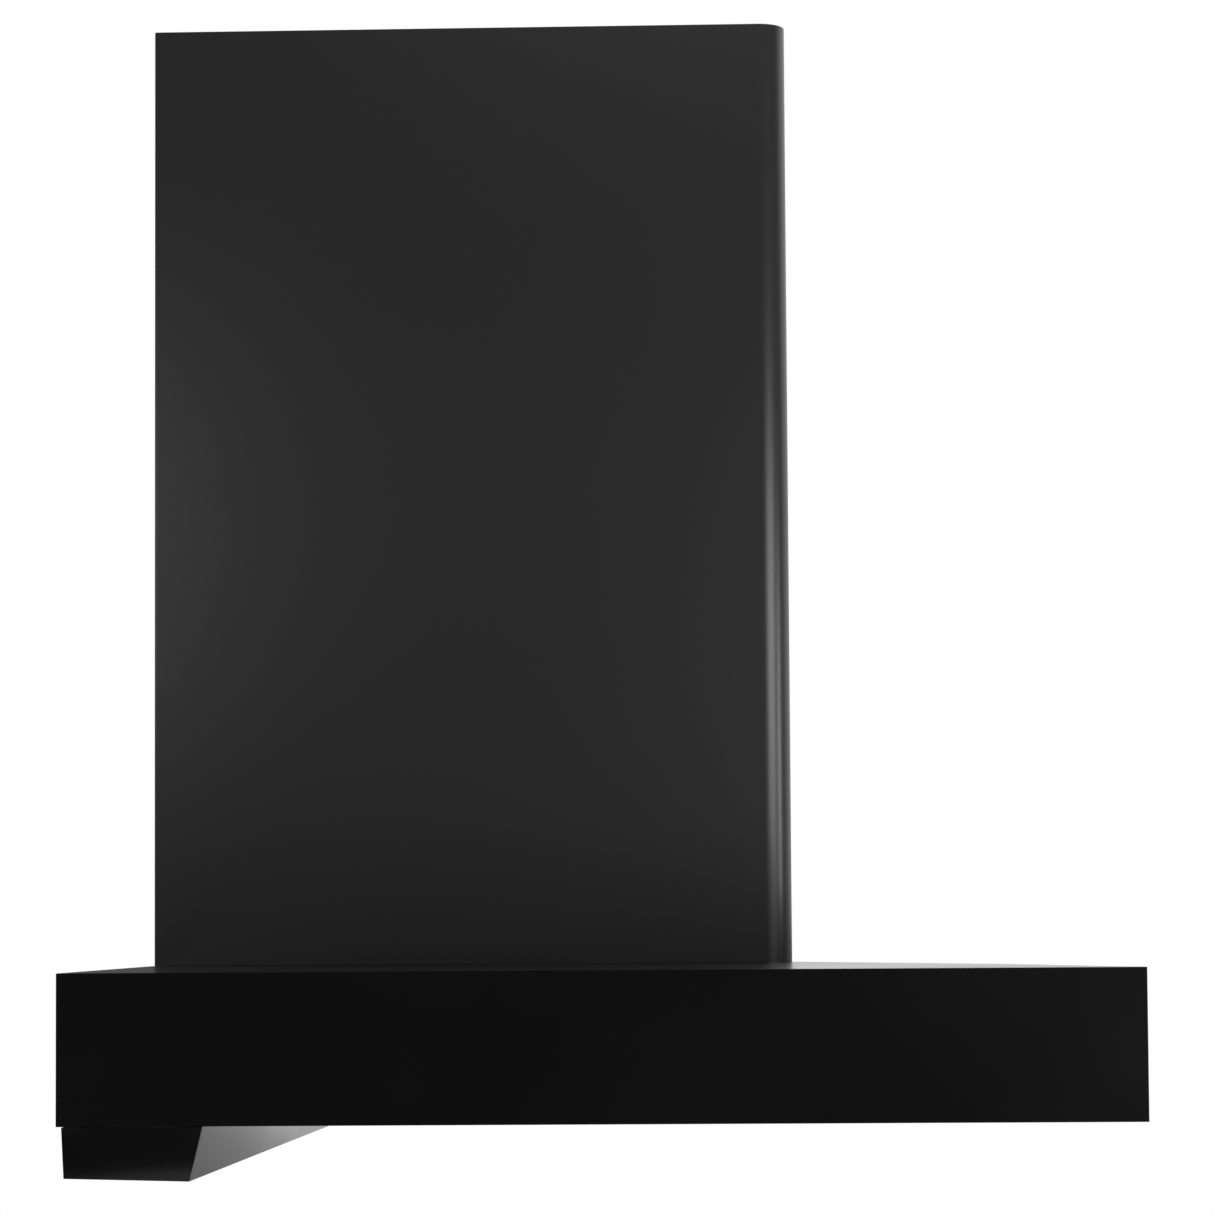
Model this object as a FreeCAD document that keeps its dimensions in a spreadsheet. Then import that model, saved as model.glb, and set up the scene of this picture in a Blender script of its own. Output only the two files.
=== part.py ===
"""Wall chimney range hood: canopy, telescoping chimney, blower, damper, baffle filters,
grease tray, lamps and push buttons.

Millimetres.  +Z is up, +Y points at the wall and -Y at the cook.  The origin is on the wall plane,
at the centre of the four wall screws.  Inside this file heights are given above the canopy's rim,
and every object is lowered by rim_drop when it is placed.
"""
import FreeCAD, Part
import math
import os
import re
import Sketcher

vector = FreeCAD.Vector
doc = FreeCAD.newDocument("range_hood")
sheet = doc.addObject("Spreadsheet::Sheet", "Sizes")

SIZES = {
    # canopy: a folded box with a very low hipped top
    "hood_width": 900, "hood_depth": 500, "rim_height": 70.4, "crown_rise": 2.8, "crown_margin": 6.5,
    "canopy_skin": 1.0, "rim_return": 20, "rim_drop": 225, "drain_length": 60, "drain_width": 6,
    "drain_pitch": 120, "rivet_rear": 130, "rivet_middle": 290, "rivet_across": 150,
    # chimney: an outer fixed section and an inner one that slides up out of it
    "chimney_side_gap": 20, "chimney_front_gap": 42, "chimney_height": 507, "chimney_corner": 14.2,
    "chimney_skin": 1.0, "chimney_return": 15, "slide_gap": 0.8, "upper_skin": 0.8,
    "upper_below_top": 2.0, "upper_lift": 25, "foot_leg": 15, "foot_rise": 20, "foot_skin": 1.2,
    "foot_back": 40, "foot_screw_rear": 90, "foot_screw_front": 250,
    "bracket_end_gap": 5, "bracket_height": 26, "bracket_drop": 10, "bracket_shelf": 12,
    "bracket_skin": 1.2, "bracket_hole": 3.5, "bracket_holes_apart": 180, "bracket_screw_inset": 6,
    # blower box, hung on the wall by four screws
    "box_skin": 1.0, "box_return": 12, "box_screw_rear": 50, "box_screw_pitch": 100,
    "wall_hole": 4.0, "wall_holes_across": 200, "wall_holes_up": 200, "lead_hole": 10,
    # blower: a double-inlet scroll with its axis along X, and the room round it in the box
    "scroll_rear_gap": 66, "scroll_front_gap": 14, "scroll_floor_gap": 63.8, "outlet_rise": 40.2,
    "blower_side_gap": 74, "fan_radius": 70, "fan_width": 90, "blade_depth": 13, "tongue_gap": 10,
    "fan_side_gap": 11, "scroll_step": 12, "scroll_wall": 2.0, "lug_radius": 5.5, "lug_reach": 5,
    "outlet_depth": 90, "inlet_step": 1, "inlet_lip": 9, "shaft_radius": 4.0, "shaft_play": 0.05,
    "hub_radius": 12, "hub_width": 16, "blade_count": 30,
    "blade_thick": 1.0, "disc_thick": 2.0, "motor_radius": 40, "motor_proud": 7,
    "motor_gap": 6, "arm_width": 14, "arm_thick": 2.5, "arm_margin": 14,
    # outlet spigot and its non-return damper
    "spigot_back": 115, "spigot_radius": 75, "spigot_wall": 1.5, "spigot_height": 60,
    "spigot_flange": 12, "damper_height": 20, "damper_gap": 1.2, "flap_thick": 1.0,
    "damper_pin": 1.5, "pin_inset": 0.3, "knuckle_radius": 3.0, "knuckle_length": 18,
    "stop_lip": 4, "stop_thick": 1.5,
    # electrics
    "junction_side": 70, "junction_gap": 15, "junction_width": 100, "junction_depth": 70,
    "junction_height": 38, "junction_wall": 2, "gland_bore": 4.0, "gland_play": 0.05,
    "capacitor_side": 70, "capacitor_gap": 25, "capacitor_radius": 18, "capacitor_height": 62,
    "driver_side": 60, "driver_width": 110, "driver_depth": 32, "driver_height": 22, "driver_ear": 10,
    # underside: panel, two baffle filters hung on pins, two lamps
    "panel_skin": 1.0, "panel_play": 0.3, "side_band": 61, "front_band": 97, "filter_thick": 12,
    "filter_play": 1.0, "filter_back": 73, "filter_skin": 0.8, "filter_side": 14,
    "filter_front": 30, "hinge_inset": 5, "hinge_rise": 6, "hinge_pin": 2.0, "hinge_play": 0.08,
    "pin_reach": 4.5, "bracket_wide": 16, "bracket_deep": 18, "baffle_count": 9, "baffle_wide": 26,
    "baffle_tall": 5.0, "baffle_skin": 0.8, "latch_wide": 90, "slider_wide": 28, "slider_play": 0.4,
    "latch_travel": 6, "grip_drop": 5, "lamp_across": 500, "lamp_gap": 1, "lamp_hole": 30,
    "lamp_rim": 34, "lamp_tall": 16, "lens_thick": 3,
    # grease tray on its two rails
    "tray_gap": 0.3, "tray_back": 2.3, "tray_top": 65.2, "tray_deep": 23.8, "tray_fall": 1.5,
    "tray_skin": 1.0, "tray_draft": 15.5, "tray_end_gap": 1.0, "tray_lip": 8, "tray_notch": 8,
    "rail_play": 0.5, "rail_skin": 1.0, "rail_foot": 8, "rail_hold": 2.6,
    # controls in the front face
    "button_pitch": 26, "button_radius": 8.0, "button_play": 0.4,
    "button_proud": 2.6, "button_travel": 2.0, "bezel_width": 148, "bezel_height": 30,
    "bezel_thick": 1.0, "bezel_up": 36, "bezel_border": 4, "housing_deep": 22, "housing_play": 0.4,
    "housing_wall": 1.2, "board_thick": 1.6, "board_play": 0.2, "board_inset": 1,
    # screws, all small pan heads
    "screw_radius": 2.0, "screw_head": 3.8, "screw_head_tall": 2.0,
}
# sizes that follow others, so that what fits together stays together
FOLLOWS = {
    "scroll_start": "(fan_radius + tongue_gap)",
    "scroll_width": "(fan_width + 2 * fan_side_gap)",
    "inlet_radius": "(fan_radius - blade_depth + inlet_step)",
    "arm_reach": "(inlet_radius + arm_margin)",
    "motor_length": "(scroll_width / 2 + motor_proud - motor_gap - disc_thick / 2)",
    "fan_back": "(scroll_rear_gap + scroll_start + 3.5 * scroll_step)",
    "fan_above_rim": "(rim_height + crown_rise + scroll_floor_gap + scroll_start + 2.5 * scroll_step)",
    "box_width": "(scroll_width + 2 * blower_side_gap)",
    "box_depth": "(fan_back + scroll_start + 1.5 * scroll_step + scroll_front_gap)",
    "box_height": "(scroll_floor_gap + 2 * scroll_start + 3 * scroll_step + outlet_rise)",
    "chimney_width": "(box_width + 2 * chimney_side_gap)",
    "chimney_depth": "(box_depth + chimney_front_gap)",
    "upper_height": "(chimney_height - upper_below_top - upper_lift)",
    "bracket_width": "(chimney_width - 2 * bracket_end_gap)",
    "junction_back": "(spigot_back + spigot_radius + spigot_flange + junction_gap + junction_depth / 2)",
    "capacitor_back": "(spigot_back + spigot_radius + spigot_flange + capacitor_gap + capacitor_radius)",
    "filter_width": "(hood_width / 2 - bracket_wide / 2 - filter_play - side_band)",
    "lamp_back": "(hood_depth - rim_return - lamp_gap - lamp_rim)",
}
for row, (alias, number) in enumerate(SIZES.items(), start=1):
    sheet.set(f"A{row}", alias)
    sheet.set(f"B{row}", str(number))
    sheet.setAlias(f"B{row}", alias)
doc.recompute()

nodes = []


def size(alias):
    """A size, read back from the sheet."""
    return float(sheet.get(alias))


def in_full(words):
    """A sum with each followed size written out and each size of the sheet given its full name."""
    def with_sheet(found):
        word = found.group(0)
        if word in FOLLOWS:
            return in_full(FOLLOWS[word])
        return "Sizes." + word if word in SIZES else word
    return re.sub(r"[a-z_]+", with_sheet, str(words))


def bind(thing, prop, words):
    """Drive a property by a sum written with the sheet's own words."""
    thing.setExpression(prop, in_full(words))


def node(thing, label):
    """Name a finished sub-part; its label is its file's name."""
    thing.Label = label
    nodes.append(thing)
    return thing


def place(thing, x, y, z):
    """Put a primitive at x, y and z, with z given above the rim."""
    bind(thing, "Placement.Base.x", x)
    bind(thing, "Placement.Base.y", y)
    bind(thing, "Placement.Base.z", f"({z}) - rim_drop")
    return thing


def box(x, y, z):
    """A box between pairs of places along each axis."""
    thing = doc.addObject("Part::Box", "box")
    for prop, (low, high) in (("Length", x), ("Width", y), ("Height", z)):
        bind(thing, prop, f"({high}) - ({low})")
    return place(thing, x[0], y[0], z[0])


TURNS = {
    "X": FreeCAD.Rotation(vector(0, 1, 0), 90),
    "Y": FreeCAD.Rotation(vector(1, 0, 0), -90),
    "Z": FreeCAD.Rotation(),
}


def rod(axis, x, y, z, length, radius):
    """A cylinder that starts at x, y and z and runs along an axis."""
    thing = doc.addObject("Part::Cylinder", "rod")
    thing.Placement = FreeCAD.Placement(vector(), TURNS[axis])
    bind(thing, "Height", length)
    bind(thing, "Radius", radius)
    return place(thing, x, y, z)


def quarter(x, y, z, length, radius, start):
    """A quarter of a disc about an axis along X, from start degrees above the wall direction."""
    thing = rod("X", x, y, z, length, radius)
    spin = FreeCAD.Rotation(vector(1, 0, 0), start)
    thing.Placement.Rotation = spin * FreeCAD.Rotation(vector(1, 1, 1), 120)
    thing.Angle = 90
    return thing


def fuse(*things):
    joined = doc.addObject("Part::MultiFuse", "joined")
    joined.Shapes = list(things)
    joined.Refine = True
    return joined


def cut(base, *tools):
    """The base without the tools."""
    rest = doc.addObject("Part::Cut", "rest")
    rest.Base = base
    rest.Tool = tools[0] if len(tools) == 1 else fuse(*tools)
    return rest


def group(*things):
    together = doc.addObject("Part::Compound", "together")
    together.Links = list(things)
    return together


def mirrored(thing):
    """The same piece on the other side of the middle plane x = 0."""
    other = doc.addObject("Part::Mirroring", "mirrored")
    other.Source = thing
    other.Normal = vector(1, 0, 0)
    return other


def hip(bottom, top, low, high):
    """A block with flat ends and sloping sides: bottom and top are (half width, back, front)."""
    thing = doc.addObject("Part::Wedge", "hip")
    thing.Placement = FreeCAD.Placement(vector(), FreeCAD.Rotation(vector(1, 0, 0), 90))
    for end, (half, back, front) in (("", bottom), ("2", top)):
        bind(thing, f"X{end}min", f"0 - ({half})")
        bind(thing, f"X{end}max", half)
        bind(thing, f"Z{end}min", back)
        bind(thing, f"Z{end}max", front)
    bind(thing, "Ymin", 0)
    bind(thing, "Ymax", f"({high}) - ({low})")
    return place(thing, 0, 0, low)


def new_body(label):
    body = doc.addObject("PartDesign::Body", label)
    bind(body, "Placement.Base.z", "0 - rim_drop")
    return node(body, label)


def sketch(body, role, offset=0):
    """An empty sketch on one of the body's own planes, moved along the plane's normal."""
    plane = next(part for part in body.Origin.OriginFeatures if part.Role == role)
    drawing = body.newObject("Sketcher::SketchObject", body.Name + "_sketch")
    drawing.AttachmentSupport = [(plane, "")]
    drawing.MapMode = "FlatFace"
    bind(drawing, "AttachmentOffset.Base.z", offset)
    return drawing


def outline(drawing, corners):
    """A closed outline of straight lines whose corners are held from the sketch's origin."""
    first, count = drawing.GeometryCount, len(corners)
    turn = 2 * math.pi / count
    ring = [vector(math.cos(i * turn), math.sin(i * turn), 0) for i in range(count)]
    for i in range(count):
        drawing.addGeometry(Part.LineSegment(ring[i], ring[(i + 1) % count]))
    for i in range(count):
        ends = ("Coincident", first + i, 2, first + (i + 1) % count, 1)
        drawing.addConstraint(Sketcher.Constraint(*ends))
    for i, corner in enumerate(corners):
        for kind, words in zip(("DistanceX", "DistanceY"), corner):
            index = drawing.addConstraint(Sketcher.Constraint(kind, -1, 1, first + i, 1, 1.0))
            bind(drawing, f"Constraints[{index}]", words)
    return drawing


def circle(drawing, across, up, radius):
    """A circle whose centre and radius are held from the sketch's origin."""
    index = drawing.addGeometry(Part.Circle(vector(), vector(0, 0, 1), 1.0))
    for kind, words in (("DistanceX", across), ("DistanceY", up)):
        held = drawing.addConstraint(Sketcher.Constraint(kind, -1, 1, index, 3, 1.0))
        bind(drawing, f"Constraints[{held}]", words)
    held = drawing.addConstraint(Sketcher.Constraint("Radius", index, 1.0))
    bind(drawing, f"Constraints[{held}]", radius)
    return drawing


def rectangle(drawing, across, up):
    (left, right), (low, high) = across, up
    return outline(drawing, [(left, low), (right, low), (right, high), (left, high)])


def pad(body, drawing, length, both_ways=False):
    solid = body.newObject("PartDesign::Pad", body.Name + "_pad")
    solid.Profile = drawing
    solid.Midplane = both_ways
    bind(solid, "Length", length)
    doc.recompute()
    return solid


def pocket(body, drawing, length):
    """Cut the outline away, by half the length on each side of its sketch."""
    before = body.Shape.Volume
    solid = body.newObject("PartDesign::Pocket", body.Name + "_pocket")
    solid.Profile = drawing
    solid.Midplane = True
    bind(solid, "Length", length)
    doc.recompute()
    if body.Shape.Volume >= before:
        raise ValueError(f"{body.Label}: a pocket cut nothing")
    return solid


def fillet(body, radius, chosen):
    """Round the body's edges for which chosen(edge) is true."""
    last = body.Tip
    names = [f"Edge{i}" for i, edge in enumerate(last.Shape.Edges, start=1) if chosen(edge)]
    rounded = body.newObject("PartDesign::Fillet", body.Name + "_fillet")
    rounded.Base = (last, names)
    bind(rounded, "Radius", radius)
    doc.recompute()
    return rounded


def is_upright(edge):
    return abs(edge.tangentAt(edge.FirstParameter).z) > 0.9


def faces(solid, chosen):
    return [f"Face{i}" for i, face in enumerate(solid.Shape.Faces, start=1) if chosen(face)]


def hollow(body, skin, chosen):
    """Leave a wall of one thickness inside the body's faces, open where chosen(face) is true."""
    last = body.Tip
    wall = body.newObject("PartDesign::Thickness", body.Name + "_wall")
    wall.Base = (last, faces(last, chosen))
    wall.Reversed = True
    wall.Join = 1
    bind(wall, "Value", skin)
    doc.recompute()
    return wall


def turned(label, profile, x, y, z, axis="Z", tilt=0):
    """A body spun from a profile of (radius, height) corners about its own Z."""
    body = doc.addObject("PartDesign::Body", label)
    drawing = outline(sketch(body, "XZ_Plane"), profile)
    spun = body.newObject("PartDesign::Revolution", label + "_spun")
    spun.Profile = drawing
    spun.ReferenceAxis = (drawing, ["V_Axis"])
    spun.Angle = 360
    body.Placement = FreeCAD.Placement(vector(), FreeCAD.Rotation(vector(1, 0, 0), tilt) * TURNS[axis])
    place(body, x, y, z)
    return node(body, label)


def screws(label, spots, axis="Z", length=8, head_first=False):
    """Pan-head screws in one node: each spot is where the head meets the sheet."""
    made = []
    for x, y, z in spots:
        along = "XYZ".index(axis)
        shank_from, head_from = [x, y, z], [x, y, z]
        if head_first:
            head_from[along] = f"({head_from[along]}) - screw_head_tall"
        else:
            shank_from[along] = f"({shank_from[along]}) - {length}"
        made.append(fuse(rod(axis, *shank_from, length, "screw_radius"),
                         rod(axis, *head_from, "screw_head_tall", "screw_head")))
    return node(group(*made), label)


def screw_holes(spots, axis="Z", reach=6):
    """Round tools that clear the screws' shanks."""
    holes = []
    for spot in spots:
        start = list(spot)
        along = "XYZ".index(axis)
        start[along] = f"({start[along]}) - {reach}"
        holes.append(rod(axis, *start, f"2 * {reach}", "screw_radius + 0.1"))
    return holes


# ---- canopy ------------------------------------------------------------------------------------
CROWN = "rim_height + crown_rise"
CROWN_HALF = "chimney_width / 2 + crown_margin"
CROWN_FRONT = "chimney_depth + crown_margin"
HALF_HOOD = "hood_width / 2"
TRAY_ZONE = "filter_back - 4"
BOX_LOW = CROWN
BOX_HIGH = f"{CROWN} + box_height"


def canopy_block(inset):
    """The canopy's outer form, or the same form drawn in by the sheet's thickness."""
    sides = box((f"0 - {HALF_HOOD} + {inset}", f"{HALF_HOOD} - {inset}"),
                (f"0 - hood_depth + {inset}", f"0 - {inset}"), (inset, f"rim_height - {inset}"))
    top = hip((f"{HALF_HOOD} - {inset}", inset, f"hood_depth - {inset}"),
              (f"{CROWN_HALF} - {inset}", inset, f"{CROWN_FRONT} - {inset}"),
              f"rim_height - {inset}", f"{CROWN} - {inset}")
    return fuse(sides, top)


def filter_span(side, outset=0):
    """The x range of one filter: side is -1 on the left and 1 on the right."""
    near, far = (f"bracket_wide / 2 + filter_play - {outset}",
                 f"bracket_wide / 2 + filter_play + filter_width + {outset}")
    return (near, far) if side > 0 else (f"0 - ({far})", f"0 - ({near})")


FILTER_LOW = "canopy_skin"
FILTER_FRONT = "hood_depth - front_band"
box_hole = box(("box_return - box_width / 2", "box_width / 2 - box_return"),
               ("box_return - box_depth", "0 - box_return"), ("rim_height - 5", f"{CROWN} + 5"))
mouth = box((f"rim_return - {HALF_HOOD}", f"{HALF_HOOD} - rim_return"),
            ("rim_return - hood_depth", f"0 - ({TRAY_ZONE})"), ("0 - 5", "canopy_skin + 1"))
control_slot = box(("bezel_border - bezel_width / 2", "bezel_width / 2 - bezel_border"),
                   ("0 - hood_depth - 2", "4 - hood_depth"),
                   ("bezel_up - bezel_height / 2 + bezel_border",
                    "bezel_up + bezel_height / 2 - bezel_border"))


def drains():
    """Slots that let grease fall from the canopy's floor into the tray."""
    middle = "0 - tray_back - tray_top / 2"
    clear = size("hood_width") / 2 - size("rim_return") - size("drain_length") / 2
    reach = int(clear / size("drain_pitch"))
    return [box((f"{i} * drain_pitch - drain_length / 2", f"{i} * drain_pitch + drain_length / 2"),
                (f"{middle} - drain_width / 2", f"{middle} + drain_width / 2"), (-3, 4))
            for i in range(-reach, reach + 1)]


box_screw_spots = [(f"{side} * (box_width / 2 - box_return / 2)",
                    f"0 - box_screw_rear - {i} * box_screw_pitch", f"{CROWN} - canopy_skin")
                   for side in (-1, 1) for i in range(3)]
FOOT_SCREWS_Y = ("0 - foot_screw_rear", "0 - foot_screw_front")
foot_screw_spots = [(f"{side} * (chimney_width / 2 - chimney_skin - foot_leg / 2)", y,
                     f"{CROWN} - canopy_skin") for side in (-1, 1) for y in FOOT_SCREWS_Y]
RIVET_FRONT = "rim_return / 2 - hood_depth"
rivet_spots = [(f"{side} * ({HALF_HOOD} - rim_return / 2)", y, "canopy_skin + panel_skin")
               for side in (-1, 1) for y in ("0 - rivet_rear", "0 - rivet_middle", RIVET_FRONT)]
rivet_spots += [(f"{side} * rivet_across", RIVET_FRONT, "canopy_skin + panel_skin") for side in (-1, 1)]
node(cut(canopy_block("0"), canopy_block("canopy_skin"), box_hole, mouth, control_slot, *drains(),
         *screw_holes(box_screw_spots + foot_screw_spots + rivet_spots)), "canopy_shell")

lamp_spots = [(f"{side} * lamp_across / 2", "0 - lamp_back") for side in (-1, 1)]
panel = box((f"canopy_skin + panel_play - {HALF_HOOD}", f"{HALF_HOOD} - canopy_skin - panel_play"),
            ("canopy_skin + panel_play - hood_depth", "0 - canopy_skin - panel_play"),
            ("canopy_skin", "canopy_skin + panel_skin"))
panel_cuts = [box(filter_span(side, "filter_play"),
                  (f"0 - ({FILTER_FRONT}) - 2", f"0 - ({TRAY_ZONE})"), ("0", "5")) for side in (-1, 1)]
panel_cuts += [rod("Z", x, y, "0 - 3", 8, "lamp_hole") for x, y in lamp_spots]
node(cut(panel, *panel_cuts, *drains(), *screw_holes(rivet_spots)), "underside_panel")
screws("panel_rivets", rivet_spots, length="(canopy_skin + panel_skin)")

# ---- chimney: lower section on the canopy, upper section inside it -------------------------------
HALF_CHIMNEY = "chimney_width / 2"
CHIMNEY_TOP = f"{CROWN} + chimney_height"
SLEEVE = "(chimney_skin + slide_gap)"


def chimney_section(label, inset, skin, low, height, corner):
    """A sheet folded round three sides, with narrow returns along the wall."""
    body = new_body(label)
    half = f"({HALF_CHIMNEY} - {inset})"
    pad(body, rectangle(sketch(body, "XY_Plane", low), (f"0 - {half}", half),
                        (f"{inset} - chimney_depth", f"0 - {inset}")), height)
    middle = body.Tip.Shape.BoundBox.Center.y
    fillet(body, corner, lambda edge: is_upright(edge) and edge.CenterOfMass.y < middle)
    hollow(body, skin, lambda face: abs(face.normalAt(0, 0).z) > 0.9)
    pocket(body, rectangle(sketch(body, "XY_Plane", low),
                           (f"{skin} + chimney_return - {half}", f"{half} - {skin} - chimney_return"),
                           (f"0 - {inset} - 2 * {skin}", 5)), f"3 * ({height})")
    return body


chimney_section("lower_chimney", "0", "chimney_skin", CROWN, "chimney_height", "chimney_corner")
upper = chimney_section("upper_chimney", SLEEVE, "upper_skin",
                        f"{CHIMNEY_TOP} - upper_below_top - upper_height", "upper_height",
                        f"(chimney_corner - {SLEEVE})")
UPPER_BACK = f"{SLEEVE} + upper_skin"
BRACKET_HIGH = f"{CHIMNEY_TOP} - upper_below_top - bracket_drop"
bracket_spots = [(f"{side} * (bracket_width / 2 - bracket_screw_inset)",
                  f"0 - ({UPPER_BACK}) - bracket_skin", f"{BRACKET_HIGH} - bracket_height / 2")
                 for side in (-1, 1)]
screw_passages = sketch(upper, "XZ_Plane")
for across, _, up in bracket_spots:
    circle(screw_passages, across, up, "screw_radius + 0.1")
pocket(upper, screw_passages, f"4 * ({UPPER_BACK})")
wall_bracket = box(("0 - bracket_width / 2", "bracket_width / 2"),
                   (f"0 - ({UPPER_BACK}) - bracket_skin", f"0 - ({UPPER_BACK})"),
                   (f"{BRACKET_HIGH} - bracket_height", BRACKET_HIGH))
bracket_shelf = box(("0 - bracket_width / 2", "bracket_width / 2"),
                    (f"0 - ({UPPER_BACK}) - bracket_shelf", f"0 - ({UPPER_BACK})"),
                    (f"{BRACKET_HIGH} - bracket_skin", BRACKET_HIGH))
bracket_holes = [rod("Y", f"{side} * bracket_holes_apart / 2", "0 - 20",
                     f"{BRACKET_HIGH} - bracket_height / 2", 20, "bracket_hole") for side in (-1, 1)]
node(cut(fuse(wall_bracket, bracket_shelf), *bracket_holes,
         *screw_holes(bracket_spots, "Y")), "chimney_wall_bracket")
screws("bracket_screws", bracket_spots, "Y", "(bracket_skin + upper_skin)", head_first=True)

for side, name in ((-1, "left"), (1, "right")):
    reach = (f"{HALF_CHIMNEY} - chimney_skin", f"{HALF_CHIMNEY} - chimney_skin - foot_leg")
    leg = box((reach[1], reach[0]), ("0 - box_depth", "0 - foot_back"), (CROWN, f"{CROWN} + foot_skin"))
    rise = box((f"{reach[0]} - foot_skin", reach[0]), ("0 - box_depth", "0 - foot_back"),
               (CROWN, f"{CROWN} + foot_rise"))
    holes = screw_holes([(f"({reach[0]} + {reach[1]}) / 2", y, CROWN) for y in FOOT_SCREWS_Y])
    foot = cut(fuse(leg, rise), *holes)
    node(foot if side > 0 else mirrored(foot), f"chimney_foot_{name}")
screws("foot_screws", foot_screw_spots, length=6, head_first=True)

# ---- blower box --------------------------------------------------------------------------------
blower_box = new_body("blower_box")
pad(blower_box, rectangle(sketch(blower_box, "XY_Plane", BOX_LOW),
                          ("0 - box_width / 2", "box_width / 2"), ("0 - box_depth", 0)),
    "box_height - box_skin")
pocket(blower_box, rectangle(sketch(blower_box, "XY_Plane", f"{BOX_HIGH} - box_skin"),
                             ("box_skin - box_width / 2", "box_width / 2 - box_skin"),
                             ("box_skin - box_depth", "0 - box_skin")),
       "2 * (box_height - 2 * box_skin)")
pocket(blower_box, rectangle(sketch(blower_box, "XY_Plane", BOX_LOW),
                             ("box_return - box_width / 2", "box_width / 2 - box_return"),
                             ("box_return - box_depth", "0 - box_return")), "8 * box_skin")
wall_holes = sketch(blower_box, "XZ_Plane")
for across in (-1, 1):
    for up in (-1, 1):
        circle(wall_holes, f"{across} * wall_holes_across / 2", f"rim_drop + {up} * wall_holes_up / 2",
               "wall_hole")
pocket(blower_box, wall_holes, "8 * box_skin")
seat_holes = sketch(blower_box, "XY_Plane", BOX_LOW)
for across, along, _ in box_screw_spots:
    circle(seat_holes, across, along, "screw_radius + 0.1")
pocket(blower_box, seat_holes, "8 * box_skin")
screws("box_screws", box_screw_spots, length=6, head_first=True)

collar_screw_spots = []
for turn in (45, 135, 225, 315):
    ring = "(spigot_radius + spigot_flange / 2)"
    collar_screw_spots.append((f"{ring} * {math.cos(math.radians(turn)):.6f}",
                               f"0 - spigot_back + {ring} * {math.sin(math.radians(turn)):.6f}",
                               f"{BOX_HIGH} + spigot_wall"))
box_lid = box(("0 - box_width / 2", "box_width / 2"), ("0 - box_depth", 0),
              (f"{BOX_HIGH} - box_skin", BOX_HIGH))
outlet_hole = rod("Z", 0, "0 - spigot_back", f"{BOX_HIGH} - 5", 10, "spigot_radius - spigot_wall")
lead_hole = rod("Z", "0 - junction_side", "0 - junction_back", f"{BOX_HIGH} - 5", 10, "lead_hole")
node(cut(box_lid, outlet_hole, lead_hole, *screw_holes(collar_screw_spots)), "blower_box_lid")

# ---- scroll housing: a four-centre volute split down its middle plane ------------------------------
FAN_Y, FAN_Z = "0 - fan_back", "fan_above_rim"
OUTLET_WALL = "(3.5 * scroll_step + scroll_start)"
CENTRES = ((-1, 1), (-1, -1), (1, -1), (1, 1))


def volute(x, length, wall):
    """Four quarter discs of growing radius and the straight outlet, drawn in by the wall."""
    quarters = []
    for i, (across, up) in enumerate(CENTRES):
        quarters.append(quarter(x, f"{FAN_Y} + {across} * scroll_step / 2",
                                f"{FAN_Z} + {up} * scroll_step / 2", length,
                                f"scroll_start + {i} * scroll_step - {wall}", 90 * i))
    middle = box((x, f"{x} + {length}"), (f"{FAN_Y} - scroll_step", f"{FAN_Y} + scroll_step"),
                 (f"{FAN_Z} - scroll_step", f"{FAN_Z} + scroll_step"))
    outlet = box((x, f"{x} + {length}"),
                 (f"{FAN_Y} + {OUTLET_WALL} - outlet_depth + {wall}",
                  f"{FAN_Y} + {OUTLET_WALL} - {wall}"),
                 (FAN_Z, f"{BOX_HIGH} - box_skin" + (" + 5" if wall != "0" else "")))
    return fuse(*quarters, middle, outlet)


def boss(i, turn):
    """The y and z of a screw boss just outside quarter i of the volute."""
    (across, up), out = CENTRES[i], f"(scroll_start + {i} * scroll_step + screw_head + 0.4)"
    return (f"{FAN_Y} + {across} * scroll_step / 2 + {out} * {math.cos(math.radians(turn)):.6f}",
            f"{FAN_Z} + {up} * scroll_step / 2 + {out} * {math.sin(math.radians(turn)):.6f}")


boss_spots = [boss(0, 88), boss(1, 140), boss(2, 225), boss(3, 315)]
for side, name in ((-1, "left"), (1, "right")):
    start = "0 - scroll_width / 2" if side < 0 else "0"
    inner = "scroll_wall - scroll_width / 2" if side < 0 else "0"
    passage = volute(inner, "scroll_width / 2 - scroll_wall", "scroll_wall")
    lugs = [rod("X", "0 - lug_reach" if side < 0 else "0", y, z, "lug_reach", "lug_radius")
            for y, z in boss_spots]
    shell = fuse(volute(start, "scroll_width / 2", "0"), *lugs)
    mouth_hole = rod("X", "0 - scroll_width" if side < 0 else "scroll_wall", FAN_Y, FAN_Z,
                     "scroll_width - scroll_wall", "inlet_radius")
    bores = screw_holes([("0", y, z) for y, z in boss_spots], "X", "(lug_reach + 1)")
    node(cut(shell, passage, mouth_hole, *bores), f"scroll_half_{name}")
    bell = turned(f"inlet_ring_{name}",
                  [("inlet_radius - 4", "0 - inlet_lip"), ("inlet_radius - 2.8", "0 - inlet_lip"),
                   ("inlet_radius - 2.8", "0 - 3"), ("inlet_radius - 0.4", "0"),
                   ("inlet_radius + 10", "0"), ("inlet_radius + 10", "1.5"),
                   ("inlet_radius - 1", "1.5"), ("inlet_radius - 4", "0 - 2.4")],
                  f"{side} * scroll_width / 2", FAN_Y, FAN_Z)
    bell.Placement.Rotation = FreeCAD.Rotation(vector(0, 1, 0), 90 * side)
screws("scroll_screws", [("lug_reach", y, z) for y, z in boss_spots], "X", "(2 * lug_reach)")

# ---- motor and impeller --------------------------------------------------------------------------
MOTOR_START = "(disc_thick / 2 + motor_gap)"
MOTOR_END = f"({MOTOR_START} + motor_length)"
MOTOR_NOSE = "(motor_radius / 3)"


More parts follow.
